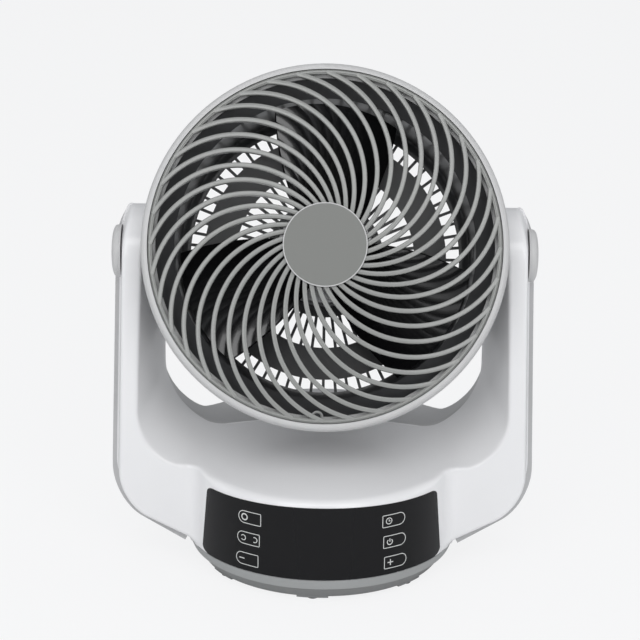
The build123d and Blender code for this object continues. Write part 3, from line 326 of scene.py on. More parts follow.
def rounded(corners, steps=5):
    """Closed outline from (x, y, radius) corners, each with a radius turned into an arc."""
    outline = []
    count = len(corners)
    for k, (x, y, radius) in enumerate(corners):
        here = Vector((x, y))
        if radius <= 0:
            outline.append(here)
            continue
        before = (Vector(corners[k - 1][:2]) - here).normalized()
        after = (Vector(corners[(k + 1) % count][:2]) - here).normalized()
        half = before.angle(after) / 2
        centre = here + (before + after).normalized() * (radius / sin(half))
        first = here + before * (radius / tan(half)) - centre
        last = here + after * (radius / tan(half)) - centre
        turn = atan2(first.x * last.y - first.y * last.x, first.dot(last))
        for step in range(steps + 1):
            angle = turn * step / steps
            turned = Vector((
                first.x * cos(angle) - first.y * sin(angle),
                first.x * sin(angle) + first.y * cos(angle),
            ))
            outline.append(centre + turned)
    return outline


def loft_rings(bm, rings, closed_along):
    """Skin between loops of places; each loop is closed, and the row of loops may be too."""
    rows = [[bm.verts.new(place) for place in ring] for ring in rings]
    pairs = list(zip(rows, rows[1:]))
    if closed_along:
        pairs.append((rows[-1], rows[0]))
    for low, high in pairs:
        for k in range(len(low)):
            j = (k + 1) % len(low)
            bm.faces.new((low[k], low[j], high[j], high[k]))
    if not closed_along:
        bm.faces.new(rows[0])
        bm.faces.new(rows[-1])


def turned_on_head(bm, outline, segments=288):
    """Ring turned about the nose axis from a closed outline of (radius, depth)."""
    rings = []
    for k in range(segments):
        angle = 2 * pi * k / segments
        rings.append([on_head(r * cos(angle), r * sin(angle), d) for r, d in outline])
    loft_rings(bm, rings, True)


def turned_disc(bm, outline, place, segments=96):
    """Solid turned from an open outline of (radius, depth) that starts and ends on its axis."""
    rows = []
    for r, d in outline:
        angles = [2 * pi * k / segments for k in range(segments)] if r else [0.0]
        rows.append([bm.verts.new(place(r * cos(a), r * sin(a), d)) for a in angles])
    for low, high in zip(rows, rows[1:]):
        for k in range(segments):
            j = (k + 1) % segments
            if len(low) == 1:
                bm.faces.new((low[0], high[j], high[k]))
            elif len(high) == 1:
                bm.faces.new((low[k], low[j], high[0]))
            else:
                bm.faces.new((low[k], low[j], high[j], high[k]))


print("mesh helpers ready")

# %% [markdown]
# The white front cover flows: the drum's shoulder sweeps up into the arms, the wings run out of the
# drum through a wide hollow, and the arms round over to the seam. Subdivision modelling could do
# this, but even blends are hard to hold by hand. Here the cover is a distance field instead: a
# function that is negative inside the form and zero on its surface. Two forms are joined by a
# formula that leaves a round of any radius between them.


# %% Rounds between distances
def shared(a, b, radius):
    """Inside both forms, with a round on the outer edge where they meet."""
    outside = np.hypot(np.maximum(a + radius, 0), np.maximum(b + radius, 0))
    return outside - radius + np.minimum(np.maximum(a, b) + radius, 0)


def joined(a, b, radius):
    """Inside either form, with a hollow round in the inner corner where they meet."""
    return -shared(-a, -b, radius)


print("round over a right angle:", round(float(shared(-1.0, -1.0, 4.0)), 3))

# %% [markdown]
# Seen from above, the cover is the drum's wall joined to two wings through a wide hollow. One single
# top surface then runs over all of it: nearly flat over the drum, falling gently to the front, and
# rising up the inner side of both arms. Because it is one surface, the soft edge on the drum's
# shoulder runs on without a break into the edge of the arm.

# %% Distances of the cover
band_top = 20.0
cover_radius = 99.6
shoulder_edge = 4.5
arm_edge = 1.3
crown_radius = 268.0
crown_height = 102.0
underside_start = 97.1
underside_angle = radians(27.0)
side_low = (152.2, 85.0)
side_lean = 4.0 / 148.5
side_draft = 0.07
underside_draft = 0.04
side_set_in = 0.6
underside_set_in = 2.6
side_roll = 1.2
underside_roll = 1.2
corner_round = 22.0
arm_end_radius = 34.0
arm_deepening = 0.070
arm_slant = (139.5, 270.0, 0.885, 0.465)
wing_front = 40.5
wing_hollow = 6.0
ridge_y = 9.0
gap_ridge = (116.0, 97.2, 50.0)
gap_change_front = (18.3, -18.0, -5.0)
gap_reach = 49.5
gap_flare = 1.5
gap_change_back = (0.118, -0.122, 0.0)
rear_step = 3.35
back_draw_in = (10.0, 7.0)
back_reach = 31.5
boss_face_x = 113.9
boss_radius = 16.6
boss_edge = 0.8
boss_hollow = 1.5
boss_set_in = 12.0
gap_crown_round = 12.0
roll_start = 2.0
roll_reach = 43.5
roll_limit = 0.985
slant_round = 5.0
arm_end_round = 2.0
wing_front_round = 2.0
wing_back_round = 5.0
edge_change = 25.0


def top_distance(x, y, z):
    """Top surface: crown over the drum, and the gap that opens between the arms."""
    forward = ridge_y - y
    half, floor_z, corner = (
        at
        + front * (np.maximum(forward, 0) / gap_reach) ** gap_flare
        + back * np.maximum(-forward, 0)
        for at, front, back in zip(gap_ridge, gap_change_front, gap_change_back)
    )
    across_gap = x - (half - corner)
    below = floor_z + corner - z
    reach = np.hypot(np.maximum(across_gap, 0), np.maximum(below, 0))
    gap = reach + np.minimum(np.maximum(across_gap, below), 0) - corner
    crown = np.sqrt(x ** 2 + forward ** 2 + (z - crown_height + crown_radius) ** 2) - crown_radius
    return joined(-gap, crown, gap_crown_round)


def wing_distance(x, y, z, set_in):
    """Outer side of the arm and wing on the right, without its top surface."""
    forward = np.maximum(ridge_y - y, 0)
    drawn = np.clip((y - ridge_y) / back_reach, 0, 1) ** 2
    share = np.clip((roll_start - y) / roll_reach, 0, roll_limit)
    rolled = 1 - np.sqrt(1 - share ** 2)
    side_in = set_in[0] + side_draft * forward + side_roll * rolled + back_draw_in[0] * drawn
    side = x - side_low[0] + side_lean * (z - side_low[1]) + side_in
    slope = (x - underside_start) * sin(underside_angle) - (z - band_top) * cos(underside_angle)
    slope += (
        set_in[1] + underside_draft * forward + underside_roll * rolled + back_draw_in[1] * drawn
    )
    form = shared(side, slope, corner_round)
    at_x, at_z, way_x, way_z = arm_slant
    slant_in = side_in - min(set_in[0], 0.0)
    form = shared(form, (x - at_x) * way_x + (z - at_z) * way_z + slant_in, slant_round)
    arm_depth = arm_end_radius + arm_deepening * (pivot_height - z)
    round_end = np.hypot(y, z - pivot_height) - arm_end_radius
    end = np.where(z > pivot_height, round_end, abs(y) - arm_depth)
    form = shared(form, end, arm_end_round)
    form = shared(form, -y - wing_front, wing_front_round)
    return shared(form, y - wing_front, wing_back_round)


def form_distance(x, y, z, set_in):
    """Drum, wing and arm under one top surface, and the boss round the pivot."""
    x = abs(x)
    plan = joined(np.hypot(x, y) - cover_radius, wing_distance(x, y, z, set_in), wing_hollow)
    on_drum = np.clip((-y - wing_front) / edge_change, 0, 1)
    edge = arm_edge + (shoulder_edge - arm_edge) * on_drum
    form = shared(plan, top_distance(x, y, z), edge)
    boss = shared(np.hypot(y, z - pivot_height) - boss_radius, boss_face_x - x, boss_edge)
    boss = shared(boss, x - side_low[0] + boss_set_in, boss_edge)
    return joined(form, boss, boss_hollow)


def cover_distance(x, y, z):
    """Form of the white front half."""
    return form_distance(x, y, z, (side_set_in, underside_set_in))


def rear_distance(x, y, z):
    """Form of the grey rear half, a step wider all round."""
    return form_distance(x, y, z, (-rear_step, -rear_step))


print("wall at the panel:", round(float(cover_distance(0.0, -cover_radius, 50.0)), 3))

# %% [markdown]
# The surface is taken from the field on a regular grid. Every grid cell that the surface passes
# through gets one place, every grid edge that it crosses gets one face, and the places are then
# drawn on to the surface and evened out a few times. The seam sweeps forward near the foot, so the
# grid is sheared with it and the cover can be cut off clean along one flat plane.


# %% Skin of a distance field
skin_step = 1.6
skin_pulls = 8
least_steepness = 0.05
grid_side = 159.0
grid_top = 274.0
band_gap = 0.1
seam_low_y = -32.0
seam_slope = 0.4556
seam_soft = 8.0


def seam_place(z):
    """Place of the seam along Y at a height: upright, then swept forward to the band."""
    swept = seam_low_y + (z - band_top) * seam_slope
    upright = np.full_like(swept, ridge_y)
    near = np.maximum(seam_soft - abs(swept - upright), 0)
    return np.minimum(swept, upright) - near ** 2 / (4 * seam_soft)


def sheared(distance):
    """The same form with Y counted from the seam, so that the seam becomes a plane."""
    return lambda x, y, z: distance(x, y + seam_place(z), z)


def slope_of(field, places, step=0.05):
    """Field and its slope at many places."""
    value = field(*places.T)
    slope = np.empty_like(places)
    for axis in range(3):
        shift = np.zeros(3)
        shift[axis] = step
        slope[:, axis] = (field(*(places + shift).T) - field(*(places - shift).T)) / (2 * step)
    return value, slope


def field_skin(field, low, high, step):
    """Places and faces of the surface where a field is zero."""
    axes = [np.arange(a, b, step) for a, b in zip(low, high)]
    inside = field(*np.meshgrid(*axes, indexing="ij")) < 0
    corners = [
        inside[i:inside.shape[0] - 1 + i, j:inside.shape[1] - 1 + j, k:inside.shape[2] - 1 + k]
        for i in (0, 1) for j in (0, 1) for k in (0, 1)
    ]
    mixed = np.logical_or.reduce(corners) & ~np.logical_and.reduce(corners)
    number = np.full(mixed.shape, -1)
    number[mixed] = np.arange(mixed.sum())
    places = np.argwhere(mixed) * step + np.array(low) + step / 2
    faces = []
    for axis in range(3):
        first = np.take(inside, range(inside.shape[axis] - 1), axis)
        crossed = np.argwhere(first != np.take(inside, range(1, inside.shape[axis]), axis))
        one, two = [a for a in range(3) if a != axis]
        limit = np.array(mixed.shape)
        keep = (crossed[:, one] > 0) & (crossed[:, two] > 0)
        keep &= (crossed[:, one] < limit[one]) & (crossed[:, two] < limit[two])
        crossed = crossed[keep]
        quad = []
        for back_one, back_two in ((1, 1), (0, 1), (0, 0), (1, 0)):
            cell = crossed.copy()
            cell[:, one] -= back_one
            cell[:, two] -= back_two
            quad.append(number[tuple(cell.T)])
        faces.append(np.stack(quad, 1))
    faces = np.concatenate(faces)
    edges = np.concatenate([faces[:, (k, (k + 1) % 4)] for k in range(4)])
    for pull in range(skin_pulls):
        for _ in range(3):
            value, slope = slope_of(field, places)
            steep = np.maximum((slope ** 2).sum(1), least_steepness)
            places -= slope * (np.clip(value, -step, step) / steep)[:, None]
        if pull < skin_pulls - 1:
            total = np.zeros_like(places)
            np.add.at(total, edges[:, 0], places[edges[:, 1]])
            np.add.at(total, edges[:, 1], places[edges[:, 0]])
            count = np.maximum(np.bincount(edges.ravel(), minlength=len(places)), 1)[:, None]
            places = places * 0.5 + total / count * 0.5
    return places, faces


def half_skin(distance, near, far, seam_at, way):
    """Right half of a form in front of the seam or behind it, above the band, in sheared places."""
    low = (-3 * skin_step, near, band_top - 4)
    places, faces = field_skin(sheared(distance), low, (grid_side, far, grid_top), skin_step)
    bm = bmesh.new()
    verts = [bm.verts.new(place) for place in places.tolist()]
    for face in faces.tolist():
        bm.faces.new([verts[k] for k in face])
    bmesh.ops.delete(bm, geom=[v for v in bm.verts if not v.link_faces], context="VERTS")
    cuts = (
        ((0, 0, 0), (-1, 0, 0)),
        ((0, seam_at, 0), (0, way, 0)),
        ((0, 0, band_top + band_gap), (0, 0, -1)),
    )
    for at, out in cuts:
        everything = bm.verts[:] + bm.edges[:] + bm.faces[:]
        bmesh.ops.bisect_plane(
            bm, geom=everything, dist=1e-4, plane_co=at, plane_no=out, clear_outer=True
        )
    return bm


def place_key(vert):
    """Rounded place of a vertex, to find it again after an extrusion."""
    return tuple(round(c, 4) for c in vert.co)


def seam_row(bm, distance, seam_at):
    """Edges along the seam, and the way out of the form at each of their ends."""
    edges = [
        e for e in bm.edges
        if e.is_boundary and all(abs(v.co.y - seam_at) < 1e-3 for v in e.verts)
    ]
    verts = list({v for e in edges for v in e.verts})
    slope = slope_of(sheared(distance), np.array([v.co[:] for v in verts]))[1]
    outward = {
        place_key(v): Vector((way[0], 0, way[2])).normalized() for v, way in zip(verts, slope)
    }
    return edges, outward


def step_row(bm, edges, outward, reach, back):
    """Next row of faces along the seam: out by a reach that may depend on the way, and back."""
    made = bmesh.ops.extrude_edge_only(bm, edges=edges)["geom"]
    moved = {}
    for vert in (g for g in made if isinstance(g, bmesh.types.BMVert)):
        flat = outward[place_key(vert)]
        vert.co += flat * reach(flat) + Vector((0, back, 0))
        moved[place_key(vert)] = flat
    return [g for g in made if isinstance(g, bmesh.types.BMEdge)], moved


def whole_skin(bm):
    """Undo the shear and mirror the half."""
    for vert in bm.verts:
        vert.co.y += float(seam_place(np.array([vert.co.z]))[0])
    everything = bm.verts[:] + bm.edges[:] + bm.faces[:]
    bmesh.ops.mirror(bm, geom=everything, axis="X", merge_dist=1e-4)


seam_at_band = float(seam_place(np.array([band_top]))[0])
print("skin step:", skin_step, "seam at the band:", round(seam_at_band, 2))

# %% [markdown]
# The front half is cut at the middle, at the band and at the seam, and mirrored. Along the seam it
# gets the thin lip that shows on the photographed fan as a bright line, and a turned-in edge.

# %% The white front cover
lip_width = 0.9
lip_depth = 1.0
lip_return = 3.0
lip_growth = 2.5
cover_grid = (-112.0, 8.0)


def lip_share(flat):
    """Full lip on the outer side, none on the top surface."""
    return min(1.0, max(0.0, lip_growth * flat.x))


cover_mesh = half_skin(cover_distance, *cover_grid, 0.0, 1)
row, outward = seam_row(cover_mesh, cover_distance, 0.0)
row, outward = step_row(cover_mesh, row, outward, lambda flat: lip_width * lip_share(flat), 0.0)
row, outward = step_row(cover_mesh, row, outward, lambda flat: 0.0, lip_depth)
step_row(cover_mesh, row, outward, lambda flat: -lip_width * lip_share(flat) - lip_return, 0.0)
whole_skin(cover_mesh)
cover_mesh.transform(Matrix.Scale(mm, 4))
front_cover = finish_mesh(cover_mesh, "front_cover", white_gloss, sharp_above=50.0)
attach(front_cover, "yoke")
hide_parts("front_shell")
print("front cover vertices:", len(front_cover.data.vertices))

# %% [markdown]
# The rear half is a step wider, so its grey edge shows all round the white front. It has a flat rim
# behind the seam, four deep wells for the screws that hold the halves together, and the hole for
# the power inlet. Each hole is opened in the skin, its edge is set to a true circle on the surface,
# and a short tube leads inward.

# %% The grey rear cover
rim_width = 9.0
seam_groove = 0.5
well_radius = 3.3
well_floor_y = 23.8
well_places = ((-131.0, 176.0), (131.0, 176.0), (-118.0, 62.0), (118.0, 62.0))
inlet_hole = (0.0, 36.0, 5.2, 94.0)
hole_margin = 2.5
least_lean = 0.2
rear_grid = (-9.6, 134.0)


def open_hole(bm, x, z, radius, floor_y):
    """Round hole along Y from the back, with a tube down to a floor."""
    inside = [
        f for f in bm.faces
        if (c := f.calc_center_median()).y > floor_y and hypot(c.x - x, c.z - z) < radius
    ]
    bmesh.ops.delete(bm, geom=inside, context="FACES")

    def at_hole(vert):
        away = hypot(vert.co.x - x, vert.co.z - z)
        return vert.co.y > floor_y and away < radius + hole_margin

    edges = [e for e in bm.edges if e.is_boundary and all(at_hole(v) for v in e.verts)]
    for vert in {v for e in edges for v in e.verts}:
        turn = atan2(vert.co.z - z, vert.co.x - x)
        place = np.array([[x + radius * cos(turn), vert.co.y, z + radius * sin(turn)]])
        for _ in range(4):
            value, slope = slope_of(rear_distance, place)
            place[0, 1] -= value[0] / max(slope[0, 1], least_lean)
        vert.co = place[0]
    made = bmesh.ops.extrude_edge_only(bm, edges=edges)["geom"]
    for vert in (g for g in made if isinstance(g, bmesh.types.BMVert)):
        vert.co.y = floor_y


rear_mesh = half_skin(rear_distance, *rear_grid, seam_groove, -1)
row, outward = seam_row(rear_mesh, rear_distance, seam_groove)
step_row(rear_mesh, row, outward, lambda flat: -rim_width, 0.0)
whole_skin(rear_mesh)
for well_x, well_z in well_places:
    open_hole(rear_mesh, well_x, well_z, well_radius, well_floor_y)
open_hole(rear_mesh, *inlet_hole)
rear_mesh.transform(Matrix.Scale(mm, 4))
rear_cover = finish_mesh(rear_mesh, "rear_cover", rear_grey, sharp_above=50.0)
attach(rear_cover, "yoke")
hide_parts("rear_shell")
print("rear cover vertices:", len(rear_cover.data.vertices))

# %% [markdown]
# The spiral guard is the showpiece: thirty-six vanes leave the hub, bend through one arc each and
# meet the rim at about twenty degrees to it. Cut from a plate they would have hard edges. A real
# moulding has a small round on both front edges, which catches the light as a pale line on each
# vane, so every vane is swept here with its own rounded section, following the guard's crown.

# %% The guard's sizes
vane_count = 36
vane_phase = 2.65
vane_width = 3.3
vane_round = 0.8
vane_back_round = 0.35
vane_root = 1.5
bend_radius = 69.5
bend_offset = 62.5
guard_depth = 7.0
guard_hub_radius = 29.0
guard_bore_radius = 22.0
rim_inner_radius = 121.4
rim_outer_radius = 124.5
rim_front = 60.8
ledge_front = 52.0
ledge_gap = 0.05
centre_front = 69.0
crown_bulge = 0.25


def circle_through(a, b, c):
    """Centre and radius of the circle through three places in a plane."""
    (ax, ay), (bx, by), (cx, cy) = a, b, c
    d = 2 * (ax * (by - cy) + bx * (cy - ay) + cx * (ay - by))
    aa, bb, cc = ax * ax + ay * ay, bx * bx + by * by, cx * cx + cy * cy
    x = (aa * (by - cy) + bb * (cy - ay) + cc * (ay - by)) / d
    y = (aa * (cx - bx) + bb * (ax - cx) + cc * (bx - ax)) / d
    return x, y, hypot(ax - x, ay - y)


rim_edge = rim_inner_radius + 1.0
crown_middle = (
    (rim_inner_radius + guard_hub_radius) / 2,
    (rim_front + centre_front) / 2 + crown_bulge * (centre_front - rim_front),
)
crown = circle_through((guard_hub_radius, centre_front), crown_middle, (rim_edge, rim_front))


def crown_depth(radius):
    """Depth of the guard's front surface at a distance from the nose axis."""
    radius = min(max(radius, guard_hub_radius), rim_edge)
    return crown[1] + sqrt(crown[2] ** 2 - (radius - crown[0]) ** 2)


print("crown at hub, middle, rim:", [round(crown_depth(r), 2) for r in (29, 75, 122)])

# %% [markdown]
# Each vane follows an arc about a bend centre beside the nose axis. Its rounded section is carried
# along the arc ring by ring, set down on the crown, and turned to its place round the hub.


# %% Sweep the vanes
def bend_angle(radius):
    """Angle about a vane's bend centre at which the vane is this far from the nose axis."""
    reach = radius ** 2 - bend_offset ** 2 - bend_radius ** 2
    return degrees(atan2(sqrt(max(0.0, (2 * bend_offset * bend_radius) ** 2 - reach ** 2)), reach))


def add_vane(bm, turn, steps=44):
    """One vane: a rounded bar swept along its arc, with its front on the guard's crown."""
    half = vane_width / 2
    section = rounded([
        (-half, -guard_depth, vane_back_round), (half, -guard_depth, vane_back_round),
        (half, 0.0, vane_round), (-half, 0.0, vane_round),
    ], steps=4)
    start = bend_angle(guard_hub_radius - vane_root)
    end = bend_angle((rim_inner_radius + rim_outer_radius) / 2)
    rings = []
    for k in range(steps + 1):
        angle = radians(-(start + (end - start) * k / steps))
        ring = []
        for side, depth in section:
            x = bend_offset + (bend_radius + side) * cos(angle)
            y = (bend_radius + side) * sin(angle)
            xr = x * cos(turn) - y * sin(turn)
            yr = x * sin(turn) + y * cos(turn)
            ring.append(on_head(xr, yr, crown_depth(hypot(x, y)) + depth))
        rings.append(ring)
    loft_rings(bm, rings, False)


guard = bmesh.new()
for k in range(vane_count):
    add_vane(guard, radians(vane_phase + k * 360 / vane_count))
print("vane faces:", len(guard.faces))

# %% [markdown]
# The rim that holds the vanes is a thin hoop. On the photographed fan it has two fine steps,
# which read as light and dark lines round the guard, so its outline is turned with them.

# %% Rim, hub and lock boss of the guard
turned_on_head(guard, rounded([
    (rim_inner_radius, ledge_front + ledge_gap, 0.2),
    (rim_outer_radius, ledge_front + ledge_gap, 0.2),
    (rim_outer_radius, rim_front - 1.6, 0.15),
    (rim_outer_radius - 0.9, rim_front - 1.2, 0.1),
    (rim_outer_radius - 1.0, rim_front, 0.3),
    (rim_inner_radius + 0.9, rim_front, 0.3),
    (rim_inner_radius + 0.8, rim_front - 0.7, 0.1),
    (rim_inner_radius, rim_front - 0.9, 0.3),
], steps=3))
turned_on_head(guard, rounded([
    (guard_bore_radius, centre_front - guard_depth, 0.3),
    (guard_hub_radius, centre_front - guard_depth, 0.3),
    (guard_hub_radius, centre_front, 0.4),
    (guard_bore_radius, centre_front, 0.3),
], steps=3), segments=144)

lock_circle = 119.8
lock_angle = radians(-92.0)
lock_seat = 56.0
lock_bore_radius = 1.25
boss_inner_radius = 2.65
boss_outer_radius = 3.3
boss_front = rim_front - 3.6
boss_segments = 48
boss_outline = rounded([
    (lock_bore_radius, ledge_front + ledge_gap, 0), (boss_outer_radius, ledge_front + ledge_gap, 0),
    (boss_outer_radius, boss_front, 0.2), (boss_inner_radius, boss_front, 0.2),
    (boss_inner_radius, lock_seat, 0), (lock_bore_radius, lock_seat, 0),
], steps=3)
boss_rings = []
for k in range(boss_segments):
    angle = 2 * pi * k / boss_segments
    cx, cy = lock_circle * cos(lock_angle), lock_circle * sin(lock_angle)
    boss_rings.append([on_head(cx + r * cos(angle), cy + r * sin(angle), d) for r, d in boss_outline])
loft_rings(guard, boss_rings, True)

spiral_guard = finish_mesh(guard, "spiral_guard", guard_grey)
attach(spiral_guard, "head")
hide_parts("spiral_grille")
print("guard vertices:", len(spiral_guard.data.vertices))

# %% [markdown]
# The cap in the middle of the guard is a flat matte disc. Its moulded edge stands up by a hair and
# catches the light as a thin pale line. That line is a painted highlight: a narrow ring of its own,
# turned about the nose axis and given the paler ring grey instead of the cap's dark grey, so it
# stays crisp at any distance.

# %% Painted highlight on the edge of the centre cap
badge_radius = 29.6
badge_front = centre_front + 2.6
highlight_ring_mesh = bmesh.new()
turned_on_head(highlight_ring_mesh, rounded([
    (badge_radius - 0.95, badge_front - 1.0, 0), (badge_radius + 0.05, badge_front - 1.0, 0),
    (badge_radius + 0.05, badge_front - 0.25, 0.3), (badge_radius - 0.95, badge_front - 0.02, 0.2),
], steps=3), segments=192)
# painted highlight: the edge ring is coloured paler than the cap to stand for the light on its edge
painted_badge_highlight = finish_mesh(highlight_ring_mesh, "painted_badge_highlight", ring_grey)
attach(painted_badge_highlight, "head")
print("badge edge vertices:", len(painted_badge_highlight.data.vertices))

# %% [markdown]
# The pivot caps are soft domes, like buttons let into the arms. A plain disc would show a flat face
# with a hard edge from the front, so each is turned from a curved outline: steep at the edge, where
# it leaves the arm, and nearly flat in the middle.

# %% Domed pivot caps
cap_outline = (
    (0.0, 153.7), (5.0, 153.62), (9.5, 153.35), (13.0, 152.9), (15.6, 152.3), (17.3, 151.6),
    (18.3, 150.8), (18.8, 149.9), (19.0, 148.9), (19.0, 146.5), (0.0, 146.5),
)
for side_name, side in (("left", -1), ("right", 1)):
    dome = bmesh.new()
    turned_disc(dome, cap_outline, lambda a, b, d: Vector((side * d, a, b + pivot_height)) * mm)
    cap = finish_mesh(dome, "pivot_cap_" + side_name, cap_side_grey, sharp_above=40.0)
    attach(cap, "yoke")
    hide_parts("cap_" + side_name)
print("pivot caps built")

# %% [markdown]
# The six touch keys are printed on the panel as pale half-pill outlines with one plain icon each.
# A texture could carry them, but thin inlays that follow the panel's curve stay sharp at any
# distance. They are drawn flat, as strokes, and then wrapped round the drum.

# %% Strokes wrapped on the panel
drum_radius = 100.0
ink_proud = 0.05
stroke_width = 0.55
key_length = 18.6
key_height = 9.2
key_rows = ((54.3, 62.2), (55.3, 45.9), (56.3, 29.6))


def on_panel(s, z, proud):
    """Place on the panel from the length round the drum and the height, in millimetres."""
    angle = s / drum_radius
    radius = drum_radius + proud
    return Vector((radius * sin(angle), -radius * cos(angle), z)) * mm


def add_stroke(bm, path, width, closed=False):
    """Thin printed line along a flat path, with mitred corners, wrapped round the drum."""
    count = len(path)
    rings = []
    for k, here in enumerate(path):
        before = path[k - 1] if k or closed else None
        after = path[(k + 1) % count] if k < count - 1 or closed else None
        ways = []
        if before is not None:
            ways.append((here - before).normalized())
        if after is not None:
            ways.append((after - here).normalized())
        along = sum(ways, Vector((0, 0))).normalized()
        side = Vector((-along.y, along.x))
        lean = max(0.5, side.dot(Vector((-ways[0].y, ways[0].x))))
        offset = side * (width / 2 / lean)
        a, b = here + offset, here - offset
        rings.append([
            on_panel(a.x, a.y, ink_proud), on_panel(b.x, b.y, ink_proud),
            on_panel(b.x, b.y, -ink_proud), on_panel(a.x, a.y, -ink_proud),
        ])
    loft_rings(bm, rings, closed)


def arc(cx, cy, radius, start, end, steps=24):
    """Flat arc as a list of places; angles in degrees."""
    angles = [radians(start + (end - start) * k / steps) for k in range(steps + 1)]
    return [Vector((cx + radius * cos(a), cy + radius * sin(a))) for a in angles]


def line(x0, y0, x1, y1, steps=6):
    """Flat straight path with a few places, so that it can follow the curve of the drum."""
    first, last = Vector((x0, y0)), Vector((x1, y1))
    return [first.lerp(last, k / steps) for k in range(steps + 1)]


def key_outline(cx, cy, side):
    """Half-pill: square towards the middle of the panel and round on its outer side."""
    half_length, radius = key_length / 2, key_height / 2
    corner = 0.7
    inner, outer = -half_length, half_length - radius
    path = arc(inner + corner, -radius + corner, corner, -90, -180, 4)
    path += arc(inner + corner, radius - corner, corner, 180, 90, 4)
    path += line(inner + 2 * corner, radius, outer - 0.4, radius, 8)
    path += arc(outer, 0.0, radius, 90, -90, 28)
    path += line(outer - 0.4, -radius, inner + 2 * corner, -radius, 8)
    return [Vector((cx + side * p.x, cy + p.y)) for p in path]


print("stroke helpers ready")

# %% [markdown]
# The icons are the plain ones that any such panel carries: a ring, two swing arcs and a minus on
# the left, a clock, the power sign and a plus on the right.

# %% Print the keys
icon_shift = 4.6
icon_radius = 2.3
icon_stroke = 0.62
icon_nudges = (0.4, 0.4, 0.2)
ink = bmesh.new()
for side in (-1, 1):
    for s, z in key_rows:
        add_stroke(ink, key_outline(side * s, z, side), stroke_width, closed=True)

left = [(-s - icon_shift + nudge, z) for (s, z), nudge in zip(key_rows, icon_nudges)]
right = [(s - icon_shift + nudge, z) for (s, z), nudge in zip(key_rows, icon_nudges)]

x, y = left[0]
add_stroke(ink, arc(x, y, icon_radius, 0, 352.5, 47), icon_stroke * 1.5, closed=True)
x, y = left[1]
add_stroke(ink, arc(x, y, icon_radius * 0.85, 150, -140, 30), icon_stroke)
add_stroke(ink, arc(x + 2.1 * icon_shift, y, icon_radius * 0.85, 120, -120, 30), icon_stroke)
x, y = left[2]
add_stroke(ink, line(x - icon_radius, y, x + icon_radius, y), icon_stroke * 1.2)

x, y = right[0]
add_stroke(ink, arc(x, y, icon_radius, 0, 352.5, 47), icon_stroke, closed=True)
hands = [Vector((x, y + 1.4)), Vector((x, y - 0.1)), Vector((x + 1.2, y - 0.1))]
add_stroke(ink, hands, icon_stroke * 0.8)
x, y = right[1]
add_stroke(ink, arc(x, y - 0.2, icon_radius * 0.92, 128, 412, 40), icon_stroke * 1.1)
add_stroke(ink, line(x, y + icon_radius * 1.05, x, y - 0.1), icon_stroke * 1.1)
x, y = right[2]
add_stroke(ink, line(x - icon_radius, y, x + icon_radius, y), icon_stroke * 1.2)
add_stroke(ink, line(x, y - icon_radius, x, y + icon_radius), icon_stroke * 1.2)

key_print = finish_mesh(ink, "key_print", print_ink)
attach(key_print, "yoke")
print("print faces:", len(key_print.data.polygons))

# %% [markdown]
# The stage is a plain pale floor. A real studio sweep is lit until it turns white. Here the floor
# shows itself to the camera partly as its own pale light, which leaves the soft shadow of the
# object and adds no light to the object.

# %% Floor and background
floor_half = 9.0
glow_share = 0.88
sky_strength = 0.44
studio_white = (0.955, 0.958, 0.965, 1.0)
floor_bm = bmesh.new()
bmesh.ops.create_grid(floor_bm, x_segments=8, y_segments=8, size=floor_half)
floor_finish = Finish("studio_floor")
sweep = floor_finish.noise(1.3, 2.0)
floor_finish.feed(Base_Color=floor_finish.mix(sweep, (0.86, 0.86, 0.865), (0.90, 0.90, 0.90)))
floor_finish.feed(Roughness=sweep * 0.1 + 0.7)
rays = floor_finish.tree.nodes.new("ShaderNodeLightPath")
seen = Wire(floor_finish, rays.outputs["Is Camera Ray"])
glow = floor_finish.node("ShaderNodeEmission", None, {"Color": studio_white, "Strength": 1.0})
output_node = floor_finish.tree.nodes["Material Output"]
surface_wire = Wire(floor_finish, floor_finish.surface.outputs[0])
floor_mix = floor_finish.node(
    "ShaderNodeMixShader", None, {0: seen * glow_share, 1: surface_wire, 2: glow}
)
floor_finish.join(output_node.inputs["Surface"], floor_mix)
floor = finish_mesh(floor_bm, "studio_floor", floor_finish.material)

world = bpy.data.worlds.new("studio")
bpy.context.scene.world = world
world.use_nodes = True
world_tree = world.node_tree
sky = world_tree.nodes["Background"]
sky.inputs["Color"].default_value = (0.95, 0.97, 1.0, 1.0)
sky.inputs["Strength"].default_value = sky_strength
white = world_tree.nodes.new("ShaderNodeBackground")
white.inputs["Color"].default_value = studio_white
path_node = world_tree.nodes.new("ShaderNodeLightPath")
world_mix = world_tree.nodes.new("ShaderNodeMixShader")
world_tree.links.new(path_node.outputs["Is Camera Ray"], world_mix.inputs[0])
world_tree.links.new(sky.outputs[0], world_mix.inputs[1])
world_tree.links.new(white.outputs[0], world_mix.inputs[2])
world_tree.links.new(world_mix.outputs[0], world_tree.nodes["World Output"].inputs["Surface"])
print("floor and world ready")

# %% [markdown]
# The light is soft and comes mostly from the front: a wide box high up, two square ones to its left
# and right, and weaker ones overhead and at the sides. All are area lamps, so no shadow is hard.


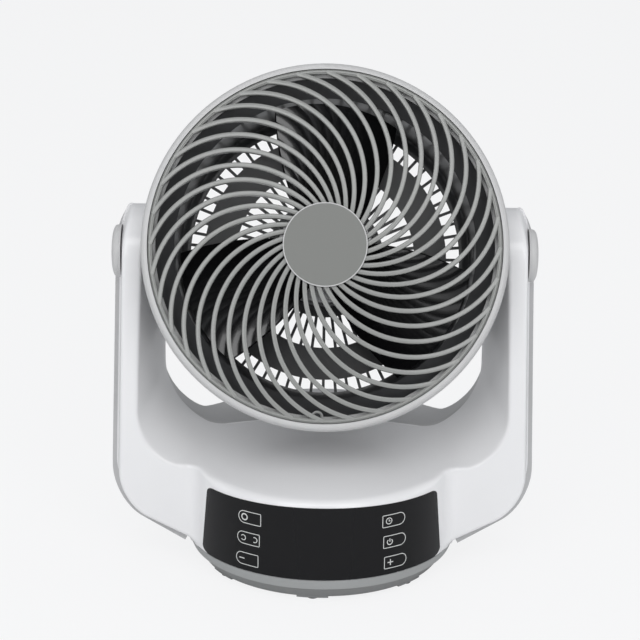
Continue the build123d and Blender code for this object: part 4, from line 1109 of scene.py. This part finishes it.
# %% Lamps
def softbox(name, place, target, size, power):
    """Rectangular area lamp that looks at a target."""
    data = bpy.data.lights.new(name, "AREA")
    data.shape = "RECTANGLE"
    data.size, data.size_y = size
    data.energy = power
    lamp = bpy.data.objects.new(name, data)
    lamp.location = place
    lamp.rotation_mode = "QUATERNION"
    lamp.rotation_quaternion = (Vector(target) - Vector(place)).to_track_quat("-Z", "Y")
    bpy.context.scene.collection.objects.link(lamp)


softbox("overhead", (0.0, 0.0, 1.9), (0, 0, 0.2), (1.8, 1.4), 4.0)
softbox("left_box", (-1.8, 0.1, 0.6), (0, 0, 0.15), (0.9, 1.0), 3.0)
softbox("right_box", (1.8, 0.1, 0.6), (0, 0, 0.15), (0.9, 1.0), 3.0)
softbox("key_left", (-1.0, -2.2, 1.0), (0, 0, 0.15), (1.0, 1.0), 9.0)
softbox("key_right", (1.0, -2.2, 1.0), (0, 0, 0.15), (1.0, 1.0), 9.0)
softbox("front_high", (0.0, -1.7, 1.7), (0, 0, 0.1), (2.4, 0.7), 15.0)
print("lamps:", len(bpy.data.lights))

# %% [markdown]
# The camera stands two metres away and looks twenty degrees down, which was worked out from how
# far the base's circle is flattened and how the ring's far side closes up.

# %% Camera
look_down = radians(20.0)
camera_roll = radians(0.7)
camera_place = (-0.0030, -1.945, 0.8900)
camera_data = bpy.data.cameras.new("camera")
camera_data.lens = 160.0
camera_data.sensor_width = 36.0
camera_data.clip_start = 0.05
camera_data.clip_end = 60.0
camera = bpy.data.objects.new("camera", camera_data)
camera.location = camera_place
camera.rotation_mode = "QUATERNION"
tipped = Quaternion((1.0, 0.0, 0.0), pi / 2 - look_down)
camera.rotation_quaternion = tipped @ Quaternion((0.0, 0.0, 1.0), camera_roll)
bpy.context.scene.collection.objects.link(camera)
bpy.context.scene.camera = camera
bpy.context.scene.view_settings.view_transform = "Standard"
print("camera at", tuple(camera.location))

# %% [markdown]
# Last, the script says that it is done.

# %% The end
print("scene ready")
